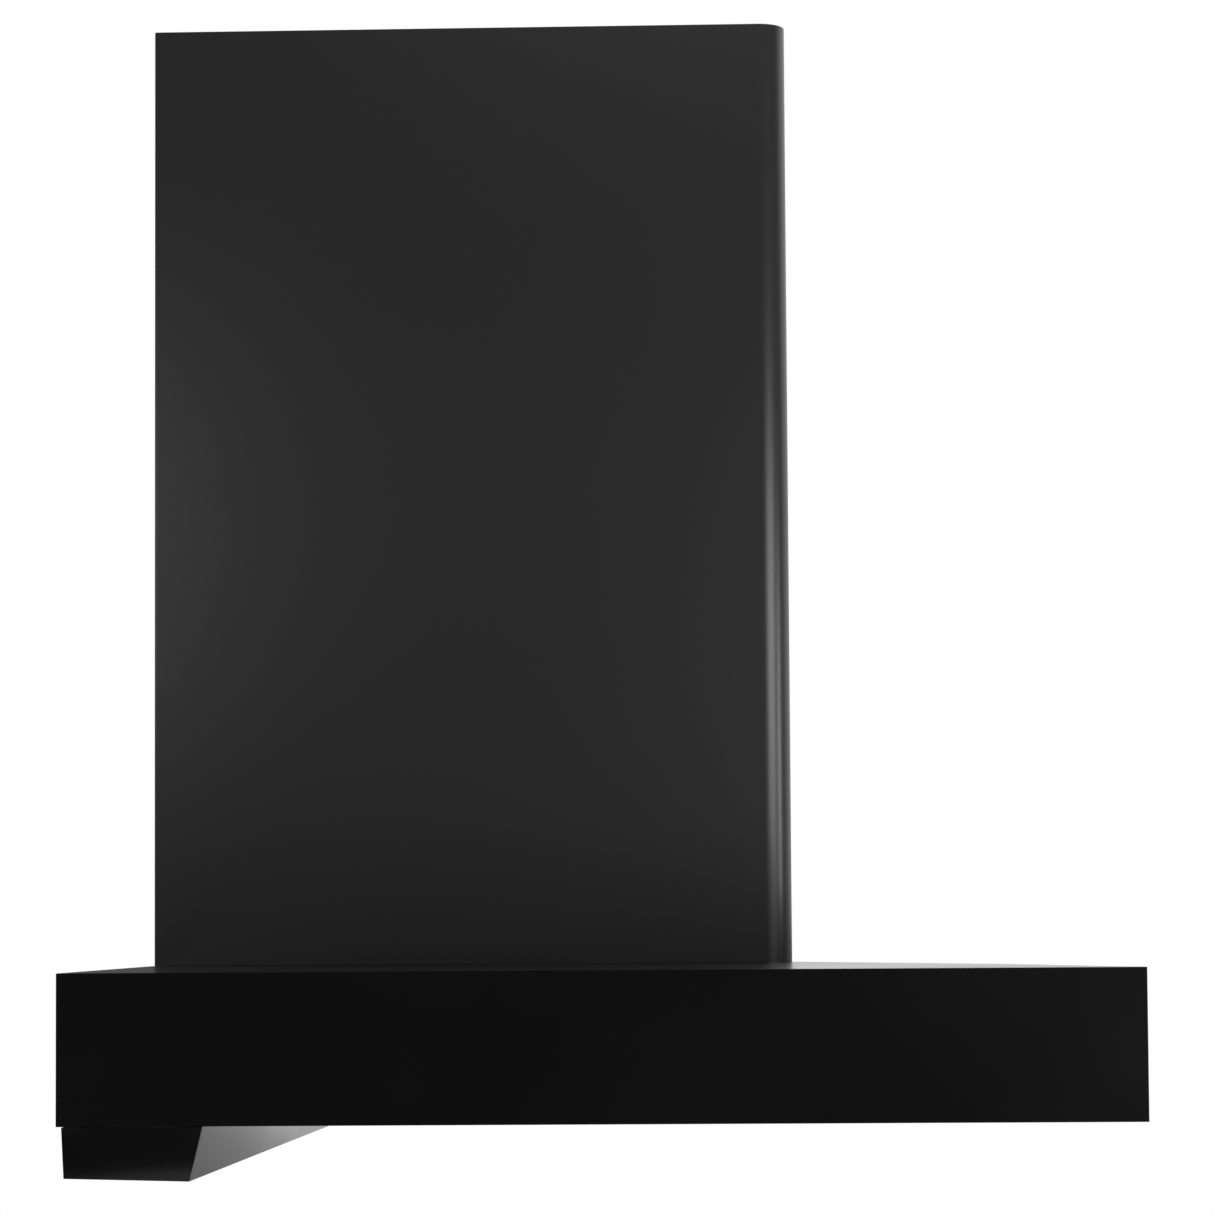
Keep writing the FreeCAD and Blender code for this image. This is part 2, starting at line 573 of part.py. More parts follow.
def spoke(turn, x, wide, out):
    """A bar turned about the fan's axis: x is its range along it and out its range away from it."""
    bar = doc.addObject("Part::Box", "spoke")
    bar.Placement = FreeCAD.Placement(vector(), FreeCAD.Rotation(vector(1, 0, 0), turn))
    for prop, (low, high) in (("Length", x), ("Height", out)):
        bind(bar, prop, f"({high}) - ({low})")
    bind(bar, "Width", wide)
    near, far = f"{math.cos(math.radians(turn)):.6f}", f"{math.sin(math.radians(turn)):.6f}"
    return place(bar, x[0], f"{FAN_Y} - {wide} / 2 * {near} - ({out[0]}) * {far}",
                 f"{FAN_Z} - {wide} / 2 * {far} + ({out[0]}) * {near}")


motor = fuse(rod("X", MOTOR_START, FAN_Y, FAN_Z, "motor_length", "motor_radius"),
             rod("X", f"{MOTOR_START} - 3", FAN_Y, FAN_Z, "6", MOTOR_NOSE))
shaft_bore = rod("X", 0, FAN_Y, FAN_Z, "motor_length", "shaft_radius + shaft_play")
motor_screw_spots = [(f"{MOTOR_END} + arm_thick", f"{FAN_Y} + {across} * motor_radius / 2",
                      f"{FAN_Z} + {up} * motor_radius / 2") for across in (-1, 1) for up in (-1, 1)]
node(cut(motor, shaft_bore, *screw_holes(motor_screw_spots, "X", 9)), "motor")
screws("motor_screws", motor_screw_spots, "X", 8)

ARM_SEAT = "(scroll_width / 2)"
arms = []
for turn in (0, 120, 240):
    arms.append(spoke(turn, (MOTOR_END, f"{MOTOR_END} + arm_thick"), "arm_width", ("10", "arm_reach")))
    arms.append(spoke(turn, (ARM_SEAT, f"{MOTOR_END} + arm_thick"), "arm_width",
                      ("arm_reach - arm_thick", "arm_reach")))
    arms.append(spoke(turn, (ARM_SEAT, f"{ARM_SEAT} + arm_thick"), "arm_width",
                      ("arm_reach - arm_thick", "arm_reach + 14")))
arm_plate = rod("X", MOTOR_END, FAN_Y, FAN_Z, "arm_thick", "motor_radius - 2")
node(cut(fuse(arm_plate, *arms), *screw_holes(motor_screw_spots, "X", 9)), "motor_bracket")

HUB_START = "(2 - hub_width)"
node(group(rod("X", f"{HUB_START} - 8", FAN_Y, FAN_Z, "motor_length + hub_width", "shaft_radius")),
     "motor_shaft")
nut = fuse(rod("X", f"{HUB_START} - 5", FAN_Y, FAN_Z, "5", "hub_radius - 5"),
           rod("X", f"{HUB_START} - 1.2", FAN_Y, FAN_Z, "1.2", "hub_radius - 3"))
node(cut(nut, rod("X", f"{HUB_START} - 9", FAN_Y, FAN_Z, "12", "shaft_radius + shaft_play")), "hub_nut")

blades = []
for i in range(int(size("blade_count"))):
    blades.append(spoke(360 / size("blade_count") * i, ("0 - fan_width / 2", "fan_width / 2"),
                        "blade_thick", ("fan_radius - blade_depth", "fan_radius - 0.5")))
rings = [cut(rod("X", x, FAN_Y, FAN_Z, "disc_thick", "fan_radius"),
             rod("X", f"{x} - 1", FAN_Y, FAN_Z, "disc_thick + 2", "fan_radius - blade_depth"))
         for x in ("0 - fan_width / 2", "fan_width / 2 - disc_thick")]
hub = fuse(rod("X", "0 - disc_thick / 2", FAN_Y, FAN_Z, "disc_thick", "fan_radius"),
           rod("X", HUB_START, FAN_Y, FAN_Z, "hub_width - 2", "hub_radius"))
node(cut(fuse(hub, *rings, *blades),
         rod("X", "0 - fan_width / 2", FAN_Y, FAN_Z, "fan_width", "shaft_radius + shaft_play")), "impeller")

# ---- outlet spigot and non-return damper ---------------------------------------------------------
SPIGOT_Y = "0 - spigot_back"
SPIGOT_BORE = "(spigot_radius - spigot_wall)"
DAMPER_Z = f"({BOX_HIGH} + damper_height)"
spigot = fuse(rod("Z", 0, SPIGOT_Y, BOX_HIGH, "spigot_height", "spigot_radius"),
              rod("Z", 0, SPIGOT_Y, BOX_HIGH, "spigot_wall", "spigot_radius + spigot_flange"))
bore = rod("Z", 0, SPIGOT_Y, f"{BOX_HIGH} - 1", "spigot_height + 2", SPIGOT_BORE)
pin_bore = rod("X", "0 - spigot_radius - 1", SPIGOT_Y, DAMPER_Z, "2 * spigot_radius + 2", "damper_pin")
stop = cut(rod("Z", 0, SPIGOT_Y, f"{DAMPER_Z} - flap_thick - stop_thick", "stop_thick",
               f"{SPIGOT_BORE} + 0.5"),
           rod("Z", 0, SPIGOT_Y, f"{DAMPER_Z} - flap_thick - 3", "6", f"{SPIGOT_BORE} - stop_lip"),
           box(("0 - spigot_radius", "spigot_radius"), (f"{SPIGOT_Y} - 4", f"{SPIGOT_Y} + 4"),
               (f"{DAMPER_Z} - 5", DAMPER_Z)))
node(cut(fuse(cut(spigot, bore), stop), pin_bore, *screw_holes(collar_screw_spots)), "duct_spigot")
screws("spigot_screws", collar_screw_spots, length=5)
node(group(rod("X", "pin_inset - spigot_radius", SPIGOT_Y, DAMPER_Z, "2 * (spigot_radius - pin_inset)",
               "damper_pin")), "damper_pin")


def away(side, low, high):
    """A y range measured from the damper's pin: side is 1 towards the wall and -1 towards the cook."""
    ends = (f"{SPIGOT_Y} + {low}", f"{SPIGOT_Y} + {high}")
    return ends if side > 0 else (f"{SPIGOT_Y} - {high}", f"{SPIGOT_Y} - {low}")


for side, name in ((1, "rear"), (-1, "front")):
    thickness = (f"{DAMPER_Z} - flap_thick / 2", f"{DAMPER_Z} + flap_thick / 2")
    leaf = doc.addObject("Part::Common", "leaf")
    leaf.Base = rod("Z", 0, SPIGOT_Y, thickness[0], "flap_thick", f"{SPIGOT_BORE} - damper_gap")
    leaf.Tool = box(("0 - spigot_radius", "spigot_radius"),
                    away(side, "(knuckle_radius + 0.5)", "spigot_radius"),
                    (f"{DAMPER_Z} - 5", f"{DAMPER_Z} + 5"))
    knuckles = []
    for centre in (-50 * side, 20 * side):
        knuckles.append(rod("X", f"{centre} - knuckle_length / 2", SPIGOT_Y, DAMPER_Z,
                            "knuckle_length", "knuckle_radius"))
        knuckles.append(box((f"{centre} - knuckle_length / 2", f"{centre} + knuckle_length / 2"),
                            away(side, "(knuckle_radius - 1)", "(knuckle_radius + 1)"), thickness))
    pin_room = rod("X", "0 - spigot_radius", SPIGOT_Y, DAMPER_Z, "2 * spigot_radius",
                   "damper_pin + hinge_play")
    node(cut(fuse(leaf, *knuckles), pin_room), f"damper_flap_{name}")

# ---- electrics on the blower box -----------------------------------------------------------------
JUNCTION_X, JUNCTION_Y = "0 - junction_side", "0 - junction_back"
junction_x = (f"{JUNCTION_X} - junction_width / 2", f"{JUNCTION_X} + junction_width / 2")
junction_y = (f"{JUNCTION_Y} - junction_depth / 2", f"{JUNCTION_Y} + junction_depth / 2")
JUNCTION_TOP = f"({BOX_HIGH} + junction_height)"
case = box(junction_x, junction_y, (BOX_HIGH, f"{JUNCTION_TOP} - junction_wall"))
inside = box((f"{junction_x[0]} + junction_wall", f"{junction_x[1]} - junction_wall"),
             (f"{junction_y[0]} + junction_wall", f"{junction_y[1]} - junction_wall"),
             (f"{BOX_HIGH} + junction_wall", JUNCTION_TOP))
case_hole = rod("Z", JUNCTION_X, JUNCTION_Y, f"{BOX_HIGH} - 1", 10, "lead_hole")
node(cut(case, inside, case_hole), "junction_box")
node(cut(box(junction_x, junction_y, (f"{JUNCTION_TOP} - junction_wall", JUNCTION_TOP)),
         rod("Z", JUNCTION_X, JUNCTION_Y, f"{JUNCTION_TOP} - 5", 10, "gland_bore + 3 + gland_play")),
     "junction_box_lid")
turned("cable_gland", [("gland_bore", "0 - 6"), ("gland_bore + 3", "0 - 6"), ("gland_bore + 3", "0"),
                       ("gland_bore + 5", "0"), ("gland_bore + 5", "6"), ("gland_bore + 4", "8"),
                       ("gland_bore + 4", "15"), ("gland_bore + 2.5", "18"), ("gland_bore", "18")],
       JUNCTION_X, JUNCTION_Y, JUNCTION_TOP)
can = rod("Z", "capacitor_side", "0 - capacitor_back", BOX_HIGH, "capacitor_height", "capacitor_radius")
tab_y = ("0 - capacitor_back - 0.5", "0 - capacitor_back + 0.5")
tab_z = (f"{BOX_HIGH} + capacitor_height - 1", f"{BOX_HIGH} + capacitor_height + 8")
terminals = [box((f"capacitor_side + {x}", f"capacitor_side + {x} + 6"), tab_y, tab_z) for x in (-10, 4)]
node(fuse(can, *terminals), "capacitor")
driver_y = ("0 - lamp_back - driver_depth / 2", "0 - lamp_back + driver_depth / 2")
driver_low = "canopy_skin + panel_skin"
driver = box(("driver_side", "driver_side + driver_width"), driver_y,
             (driver_low, f"{driver_low} + driver_height"))
driver_foot = box(("driver_side - driver_ear", "driver_side + driver_width + driver_ear"), driver_y,
                  (driver_low, f"{driver_low} + 2"))
node(fuse(driver, driver_foot), "lamp_driver")

# ---- underside: filters on their pins, latches, lamps ----------------------------------------------
FILTER_HIGH = f"({FILTER_LOW} + filter_thick)"
HINGE_Y = "0 - filter_back - hinge_inset"
HINGE_Z = f"({FILTER_LOW} + hinge_rise)"
SLIDE_LOW = f"({FILTER_LOW} + 1.5)"
bracket_y = (f"{HINGE_Y} - bracket_deep / 2", f"{HINGE_Y} + bracket_deep / 2")
bracket_z = ("canopy_skin + panel_skin", FILTER_HIGH)


def hinge_bore(x, length):
    return rod("X", x, HINGE_Y, HINGE_Z, length, "hinge_pin + hinge_play")


node(cut(box(("0 - bracket_wide / 2", "bracket_wide / 2"), bracket_y, bracket_z),
         hinge_bore("0 - bracket_wide", "2 * bracket_wide")), "filter_hinge_centre")
for side, name in ((-1, "left"), (1, "right")):
    low_x, high_x = filter_span(side)
    middle = f"({side} * (bracket_wide / 2 + filter_play + filter_width / 2))"
    outer_x = (f"{high_x} + filter_play", f"{high_x} + filter_play + 6")
    if side < 0:
        outer_x = (f"{low_x} - filter_play - 6", f"{low_x} - filter_play")
    node(cut(box(outer_x, bracket_y, bracket_z), hinge_bore(f"{outer_x[0]} - 5", 16)),
         f"filter_hinge_{name}")

    span_y = (f"0 - ({FILTER_FRONT})", "0 - filter_back")
    window_y = (f"filter_front - ({FILTER_FRONT})", "0 - filter_back - filter_side")
    case_x = (f"{middle} - latch_wide / 2", f"{middle} + latch_wide / 2")
    case_y = (span_y[0], f"{window_y[0]} - 2")
    slider_x = (f"{middle} - slider_wide / 2", f"{middle} + slider_wide / 2")
    room_x = (f"{slider_x[0]} - slider_play", f"{slider_x[1]} + slider_play")
    tray_form = box((low_x, high_x), span_y, (FILTER_LOW, FILTER_HIGH))
    window = box((f"{low_x} + filter_side", f"{high_x} - filter_side"), window_y,
                 (f"{FILTER_LOW} - 2", f"{FILTER_HIGH} + 2"))
    groove = box((f"{low_x} + filter_skin", f"{high_x} - filter_skin"),
                 (f"{span_y[0]} + filter_skin", f"{span_y[1]} - filter_skin"),
                 (f"{FILTER_LOW} + filter_skin", f"{FILTER_HIGH} - filter_skin"))
    case_room = box(case_x, (f"{case_y[0]} - 2", case_y[1]), (f"{FILTER_LOW} - 2", f"{FILTER_HIGH} + 2"))
    pins = [rod("X", f"{low_x} - pin_reach", HINGE_Y, HINGE_Z, "pin_reach + 2", "hinge_pin"),
            rod("X", f"{high_x} - 2", HINGE_Y, HINGE_Z, "pin_reach + 2", "hinge_pin")]
    node(fuse(cut(tray_form, window, groove, case_room), *pins), f"filter_frame_{name}")

    baffles = []
    inner = "(filter_width - 2 * filter_side)"
    count = int(size("baffle_count"))
    rows = [(i + 0.5, False) for i in range(count)] + [(i + 1.0, True) for i in range(count - 1)]
    for step, upper in rows:
        centre = f"{low_x} + filter_side + {step} * {inner} / {count}"
        across = (f"{centre} - baffle_wide / 2", f"{centre} + baffle_wide / 2")
        along = (f"{window_y[0]} - 1.5", f"{window_y[1]} + 3")
        base = f"{FILTER_LOW} + filter_skin"
        level = (f"{FILTER_HIGH} - filter_skin - baffle_tall", f"{FILTER_HIGH} - filter_skin")
        trough = (f"{level[0]} - 1", f"{level[1]} - baffle_skin")
        if not upper:
            level = (base, f"{base} + baffle_tall")
            trough = (f"{base} + baffle_skin", f"{level[1]} + 1")
        baffles.append(cut(box(across, along, level),
                           box((f"{across[0]} + baffle_skin", f"{across[1]} - baffle_skin"),
                               (f"{along[0]} - 1", f"{along[1]} + 1"), trough)))
    node(group(*baffles), f"filter_baffles_{name}")

    slide_room = box(room_x, (f"{case_y[0]} - 2", f"{case_y[1]} - 2"), (SLIDE_LOW, f"{SLIDE_LOW} + 6"))
    grip_room = box(room_x, (f"{case_y[0]} + 8", f"{case_y[1]} - 4"), (f"{FILTER_LOW} - 2", SLIDE_LOW))
    node(cut(box(case_x, case_y, (FILTER_LOW, FILTER_HIGH)), slide_room, grip_room),
         f"latch_case_{name}")
    tongue = box(slider_x, (f"{case_y[0]} - 1.2", f"{case_y[1]} - 4 - latch_travel"),
                 (f"{SLIDE_LOW} + slider_play", f"{SLIDE_LOW} + 6 - slider_play"))
    grip = box(slider_x, (f"{case_y[0]} + 8.4", f"{case_y[0]} + 11.4"),
               (f"{FILTER_LOW} - grip_drop", f"{SLIDE_LOW} + 1"))
    node(fuse(tongue, grip), f"latch_slider_{name}")

    lamp_x = f"{side} * lamp_across / 2"
    turned(f"lamp_bezel_{name}",
           [("lamp_hole - 6", "0"), ("lamp_rim", "0"), ("lamp_rim", "canopy_skin"),
            ("lamp_hole - 0.4", "canopy_skin"), ("lamp_hole - 0.4", "lamp_tall"), ("0", "lamp_tall"),
            ("0", "lamp_tall - 1.5"), ("lamp_hole - 2", "lamp_tall - 1.5"), ("lamp_hole - 2", "1.2"),
            ("lamp_hole - 6", "1.2")], lamp_x, "0 - lamp_back", 0)
    turned(f"lamp_lens_{name}",
           [("0", "1.2"), ("lamp_hole - 2.2", "1.2"), ("lamp_hole - 2.2", "1.2 + lens_thick"),
            ("0", "1.2 + lens_thick")], lamp_x, "0 - lamp_back", 0)

# ---- grease tray and its rails -------------------------------------------------------------------
TRAY_FRONT = "(tray_back + tray_top)"
TRAY_HALF = f"({HALF_HOOD} - tray_end_gap)"
tray = new_body("grease_tray")
slope = "tan(tray_draft)"
pad(tray, outline(sketch(tray, "YZ_Plane"),
                  [("0 - tray_back", "0 - tray_gap"), (f"0 - {TRAY_FRONT}", "0 - tray_gap"),
                   (f"(tray_deep + tray_fall) * {slope} - {TRAY_FRONT}",
                    "0 - tray_gap - tray_deep - tray_fall"),
                   ("0 - tray_back", "0 - tray_gap - tray_deep")]), f"2 * {TRAY_HALF}", both_ways=True)


formed = tray.Tip
drafted = tray.newObject("PartDesign::Draft", "tray_ends")
drafted.Base = (formed, faces(formed, lambda face: abs(face.normalAt(0, 0).x) > 0.9))
drafted.NeutralPlane = (formed, faces(formed, lambda face: face.normalAt(0, 0).z > 0.9))
doc.recompute()  # finds the neutral plane, which the angle's own recompute then needs
bind(drafted, "Angle", "tray_draft")
doc.recompute()
hollow(tray, "tray_skin", lambda face: face.normalAt(0, 0).z > 0.9)
lips = sketch(tray, "XY_Plane", "0 - tray_gap")
for near, far in (("tray_back", "tray_back + tray_lip"), (f"{TRAY_FRONT} - tray_lip", TRAY_FRONT)):
    rectangle(lips, (f"tray_lip - {TRAY_HALF}", f"{TRAY_HALF} - tray_lip"),
              (f"0 - ({far})", f"0 - ({near})"))
lip_pad = pad(tray, lips, "tray_skin")
lip_pad.Reversed = True
doc.recompute()
pocket(tray, rectangle(sketch(tray, "YZ_Plane", TRAY_HALF),
                       (f"2.5 * tray_skin - {TRAY_FRONT}", "0 - tray_back - tray_skin"),
                       ("0 - tray_gap - tray_notch", "5")), "4 * tray_lip")

LEDGE_HIGH = "(tray_gap + tray_skin + rail_play)"
for name, edge, turn in (("rear", "(0 - tray_back)", -1), ("front", f"(0 - {TRAY_FRONT})", 1)):
    web = f"({edge} + {turn} * (tray_lip + 1))"
    back = f"({web} + {turn} * rail_skin)"
    tip = f"({edge} + {turn} * rail_hold)"
    heel = f"({web} + {turn} * (rail_foot + rail_skin))"
    rail = new_body(f"tray_rail_{name}")
    pad(rail, outline(sketch(rail, "YZ_Plane"),
                      [(web, 0), (heel, 0), (heel, "0 - rail_skin"), (back, "0 - rail_skin"),
                       (back, f"0 - {LEDGE_HIGH} - rail_skin"), (tip, f"0 - {LEDGE_HIGH} - rail_skin"),
                       (tip, f"0 - {LEDGE_HIGH}"), (web, f"0 - {LEDGE_HIGH}")]),
        "hood_width - 2 * rim_return", both_ways=True)

# ---- controls in the front face ------------------------------------------------------------------
FACE_Y = "0 - hood_depth"
HALF_WIDE = "(bezel_width / 2 - bezel_border - housing_play)"
HALF_TALL = "(bezel_height / 2 - bezel_border - housing_play)"
HOUSING_X = (f"0 - {HALF_WIDE}", HALF_WIDE)
HOUSING_Z = (f"bezel_up - {HALF_TALL}", f"bezel_up + {HALF_TALL}")
button_names = ("light", "off", "low", "medium", "high")
button_places = [f"({i - (len(button_names) - 1) / 2} * button_pitch)" for i in range(len(button_names))]


def button_holes():
    return [rod("Y", x, f"{FACE_Y} - 5", "bezel_up", 10, "button_radius + button_play")
            for x in button_places]


bezel = new_body("control_bezel")
pad(bezel, rectangle(sketch(bezel, "XZ_Plane", "hood_depth"), ("0 - bezel_width / 2", "bezel_width / 2"),
                     ("bezel_up - bezel_height / 2", "bezel_up + bezel_height / 2")), "bezel_thick")
holes = sketch(bezel, "XZ_Plane", "hood_depth")
for x in button_places:
    circle(holes, x, "bezel_up", "button_radius + button_play")
pocket(bezel, holes, "6 * bezel_thick")
housing = box(HOUSING_X, (FACE_Y, f"{FACE_Y} + housing_deep"), HOUSING_Z)
housing_room = box((f"{HOUSING_X[0]} + housing_wall", f"{HOUSING_X[1]} - housing_wall"),
                   (f"{FACE_Y} + 2.5", f"{FACE_Y} + housing_deep + 1"),
                   (f"{HOUSING_Z[0]} + housing_wall", f"{HOUSING_Z[1]} - housing_wall"))
node(cut(housing, housing_room, *button_holes()), "control_housing")
BOARD_Y = f"({FACE_Y} + housing_deep - board_thick - board_inset)"
BOARD_EDGE = "housing_wall + board_play"
node(group(box((f"{HOUSING_X[0]} + {BOARD_EDGE}", f"{HOUSING_X[1]} - ({BOARD_EDGE})"),
               (BOARD_Y, f"{BOARD_Y} + board_thick"),
               (f"{HOUSING_Z[0]} + {BOARD_EDGE}", f"{HOUSING_Z[1]} - ({BOARD_EDGE})"))), "control_board")
STEM_END = "(button_travel + 0.4 + board_thick + board_inset - housing_deep)"
for name, x in zip(button_names, button_places):
    turned(f"button_{name}",
           [("0", STEM_END), ("3", STEM_END), ("3", "0 - 7"), ("button_radius + 1", "0 - 7"),
            ("button_radius + 1", "0 - 6"), ("button_radius", "0 - 6"),
            ("button_radius", "button_proud - 0.8"), ("button_radius - 0.8", "button_proud"),
            ("0", "button_proud")], x, FACE_Y, "bezel_up", tilt=90)

# ---- check every object, then write one file for each sub-part -------------------------------------
doc.recompute()
for thing in doc.Objects:
    if "Invalid" in thing.State or "Error" in thing.State:
        raise ValueError(f"{thing.Label} did not build: {thing.State}")
for piece in nodes:
    if piece.Shape.isNull() or not piece.Shape.isValid() or not piece.Shape.Solids:
        raise ValueError(f"{piece.Label} has no valid solid")

os.makedirs("parts", exist_ok=True)
for piece in nodes:
    piece.Shape.exportStep(f"parts/{piece.Label}.step")
print(f"{len(nodes)} sub-parts")
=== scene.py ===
"""Looks of a wall chimney range hood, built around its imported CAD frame.  Metres throughout."""
import math

import bmesh
import bpy
from mathutils import Matrix, Vector


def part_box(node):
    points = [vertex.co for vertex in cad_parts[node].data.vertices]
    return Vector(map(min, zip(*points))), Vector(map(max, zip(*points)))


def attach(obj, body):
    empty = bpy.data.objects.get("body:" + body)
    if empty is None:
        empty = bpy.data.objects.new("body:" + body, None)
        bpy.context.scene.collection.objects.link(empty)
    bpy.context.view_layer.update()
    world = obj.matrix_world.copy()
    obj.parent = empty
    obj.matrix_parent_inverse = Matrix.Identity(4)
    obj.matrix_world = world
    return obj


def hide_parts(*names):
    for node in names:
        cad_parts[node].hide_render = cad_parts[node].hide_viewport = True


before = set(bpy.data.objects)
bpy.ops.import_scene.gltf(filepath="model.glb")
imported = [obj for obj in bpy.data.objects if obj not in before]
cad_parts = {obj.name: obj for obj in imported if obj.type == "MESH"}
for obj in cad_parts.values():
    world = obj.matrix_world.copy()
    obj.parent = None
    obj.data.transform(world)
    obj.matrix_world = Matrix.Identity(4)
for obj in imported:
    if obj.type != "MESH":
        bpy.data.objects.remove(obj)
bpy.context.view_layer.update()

# ---- studio ------------------------------------------------------------------------------------
# The hood hangs over a pale floor, before a white surround, and four softboxes light it.  For light and
# reflections the surround is white only on the hood's far side, with a dark band by the wall, and it is
# dark behind the camera, so the black panels stay black.
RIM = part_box("canopy_shell")[0].z
EYE = Vector((-2.2484, -0.3183, RIM + 0.0753))
YAW, PITCH, ROLL = 0.0355, 0.0588, -0.0063
FOCAL_WIDTHS = 3.2320
FRAME_RISE = 0.1
SENSOR, FAR = 36.0, 100.0

camera = bpy.data.objects.new("camera", bpy.data.cameras.new("camera"))
bpy.context.scene.collection.objects.link(camera)
ahead = Vector((math.cos(YAW) * math.cos(PITCH), math.sin(YAW) * math.cos(PITCH), math.sin(PITCH)))
right = ahead.cross(Vector((0, 0, 1))).normalized()
up = right.cross(ahead)
tilted_right = right * math.cos(ROLL) + up * math.sin(ROLL)
tilted_up = up * math.cos(ROLL) - right * math.sin(ROLL)
turn = Matrix((tilted_right, tilted_up, -ahead)).transposed()
camera.matrix_world = Matrix.Translation(EYE) @ turn.to_4x4()
camera.data.sensor_width = SENSOR
camera.data.lens = SENSOR * FOCAL_WIDTHS
camera.data.shift_y = FRAME_RISE
camera.data.clip_end = FAR
bpy.context.scene.camera = camera
bpy.context.scene.view_settings.view_transform = "Standard"


def link(thing):
    """Put an object into the scene."""
    bpy.context.scene.collection.objects.link(thing)
    return thing


def softbox(name, middle, target, width, height, power):
    """A rectangular lamp that faces its target."""
    lamp = bpy.data.lights.new(name, "AREA")
    lamp.shape, lamp.size, lamp.size_y, lamp.energy = "RECTANGLE", width, height, power
    holder = link(bpy.data.objects.new(name, lamp))
    facing = (Vector(target) - Vector(middle)).to_track_quat("-Z", "Y")
    holder.matrix_world = Matrix.Translation(middle) @ facing.to_matrix().to_4x4()
    return holder


softbox("key_softbox", (-2.3, -1.9, RIM + 0.1), (-0.1, -0.3, RIM + 0.15), 1.5, 1.2, 36)
softbox("top_softbox", (-0.6, -0.6, RIM + 2.6), (0, -0.2, RIM), 2.2, 2.2, 22)
softbox("fill_softbox", (-2.2, 1.6, RIM + 0.5), (0, 0, RIM + 0.2), 1.2, 1.2, 12)
softbox("front_softbox", (-0.9, -2.6, RIM - 0.1), (-0.1, -0.3, RIM + 0.1), 0.5, 0.8, 12)


class Wire:
    """An output of a node that can be used in sums."""

    def __init__(self, tree, socket):
        self.tree, self.socket = tree, socket

    def sum(self, operation, first, second):
        """Combine two numbers in a maths node."""
        return self.tree.node("ShaderNodeMath", {"operation": operation}, {0: first, 1: second})

    def __add__(self, other):
        return self.sum("ADD", self, other)

    def __sub__(self, other):
        return self.sum("SUBTRACT", self, other)

    def __mul__(self, other):
        return self.sum("MULTIPLY", self, other)

    def __truediv__(self, other):
        return self.sum("DIVIDE", self, other)

    def __rsub__(self, other):
        return self.sum("SUBTRACT", other, self)

    __radd__ = __add__
    __rmul__ = __mul__


class Nodes:
    """A node tree that is added to one node at a time."""

    def __init__(self, tree):
        self.tree = tree

    def join(self, value, socket):
        """Link wires to a socket, or set what it holds."""
        for part in value if isinstance(value, list) else [value]:
            if isinstance(part, Wire):
                self.tree.links.new(part.socket, socket)
            else:
                socket.default_value = part

    def node(self, kind, settings=None, values=None, out=0):
        """Add a node: its settings first, then what its sockets hold or are linked to."""
        made = self.tree.nodes.new(kind)
        for name, value in (settings or {}).items():
            setattr(made, name, value)
        for socket, value in (values or {}).items():
            self.join(value, made.inputs[socket])
        return Wire(self, made.outputs[out]) if made.outputs else None


surround = bpy.data.worlds.new("surround")
bpy.context.scene.world = surround
surround.use_nodes = True
sky = Nodes(surround.node_tree)
sky.tree.nodes.clear()
WHITE, DIM = (1.0, 1.0, 1.0, 1.0), (0.036, 0.036, 0.036, 1.0)
heading = sky.node("ShaderNodeTexCoord", out="Generated")


def ramp(axis, start, end, low, high):
    """A smooth change of brightness along one axis of the surround."""
    along = sky.node("ShaderNodeSeparateXYZ", values={0: heading}, out=axis)
    return sky.node("ShaderNodeMapRange", {"interpolation_type": "SMOOTHSTEP"}, {
        "Value": along, "From Min": start, "From Max": end, "To Min": low, "To Max": high})


WALL_DARK, FAR_BRIGHT, BELOW = 0.92, 1.2, 0.4
wall_flag = 1 - ramp("Y", 0.03, 0.1, 0.0, WALL_DARK) * ramp("Y", 0.3, 0.5, 1.0, 0.0)
far_white = ramp("X", 0.05, 0.4, 0.0, FAR_BRIGHT) * wall_flag * ramp("Z", -0.2, -0.02, BELOW, 1.0)
lit = sky.node("ShaderNodeMix", {"data_type": "RGBA"}, {"Factor": far_white, 6: DIM, 7: WHITE}, out=2)
seen = sky.node("ShaderNodeLightPath", out="Is Camera Ray")
shown = sky.node("ShaderNodeMix", {"data_type": "RGBA"}, {"Factor": seen, 6: lit, 7: WHITE}, out=2)
glow = sky.node("ShaderNodeBackground", values={"Color": shown, "Strength": 1.0})
sky.node("ShaderNodeOutputWorld", values={"Surface": glow})


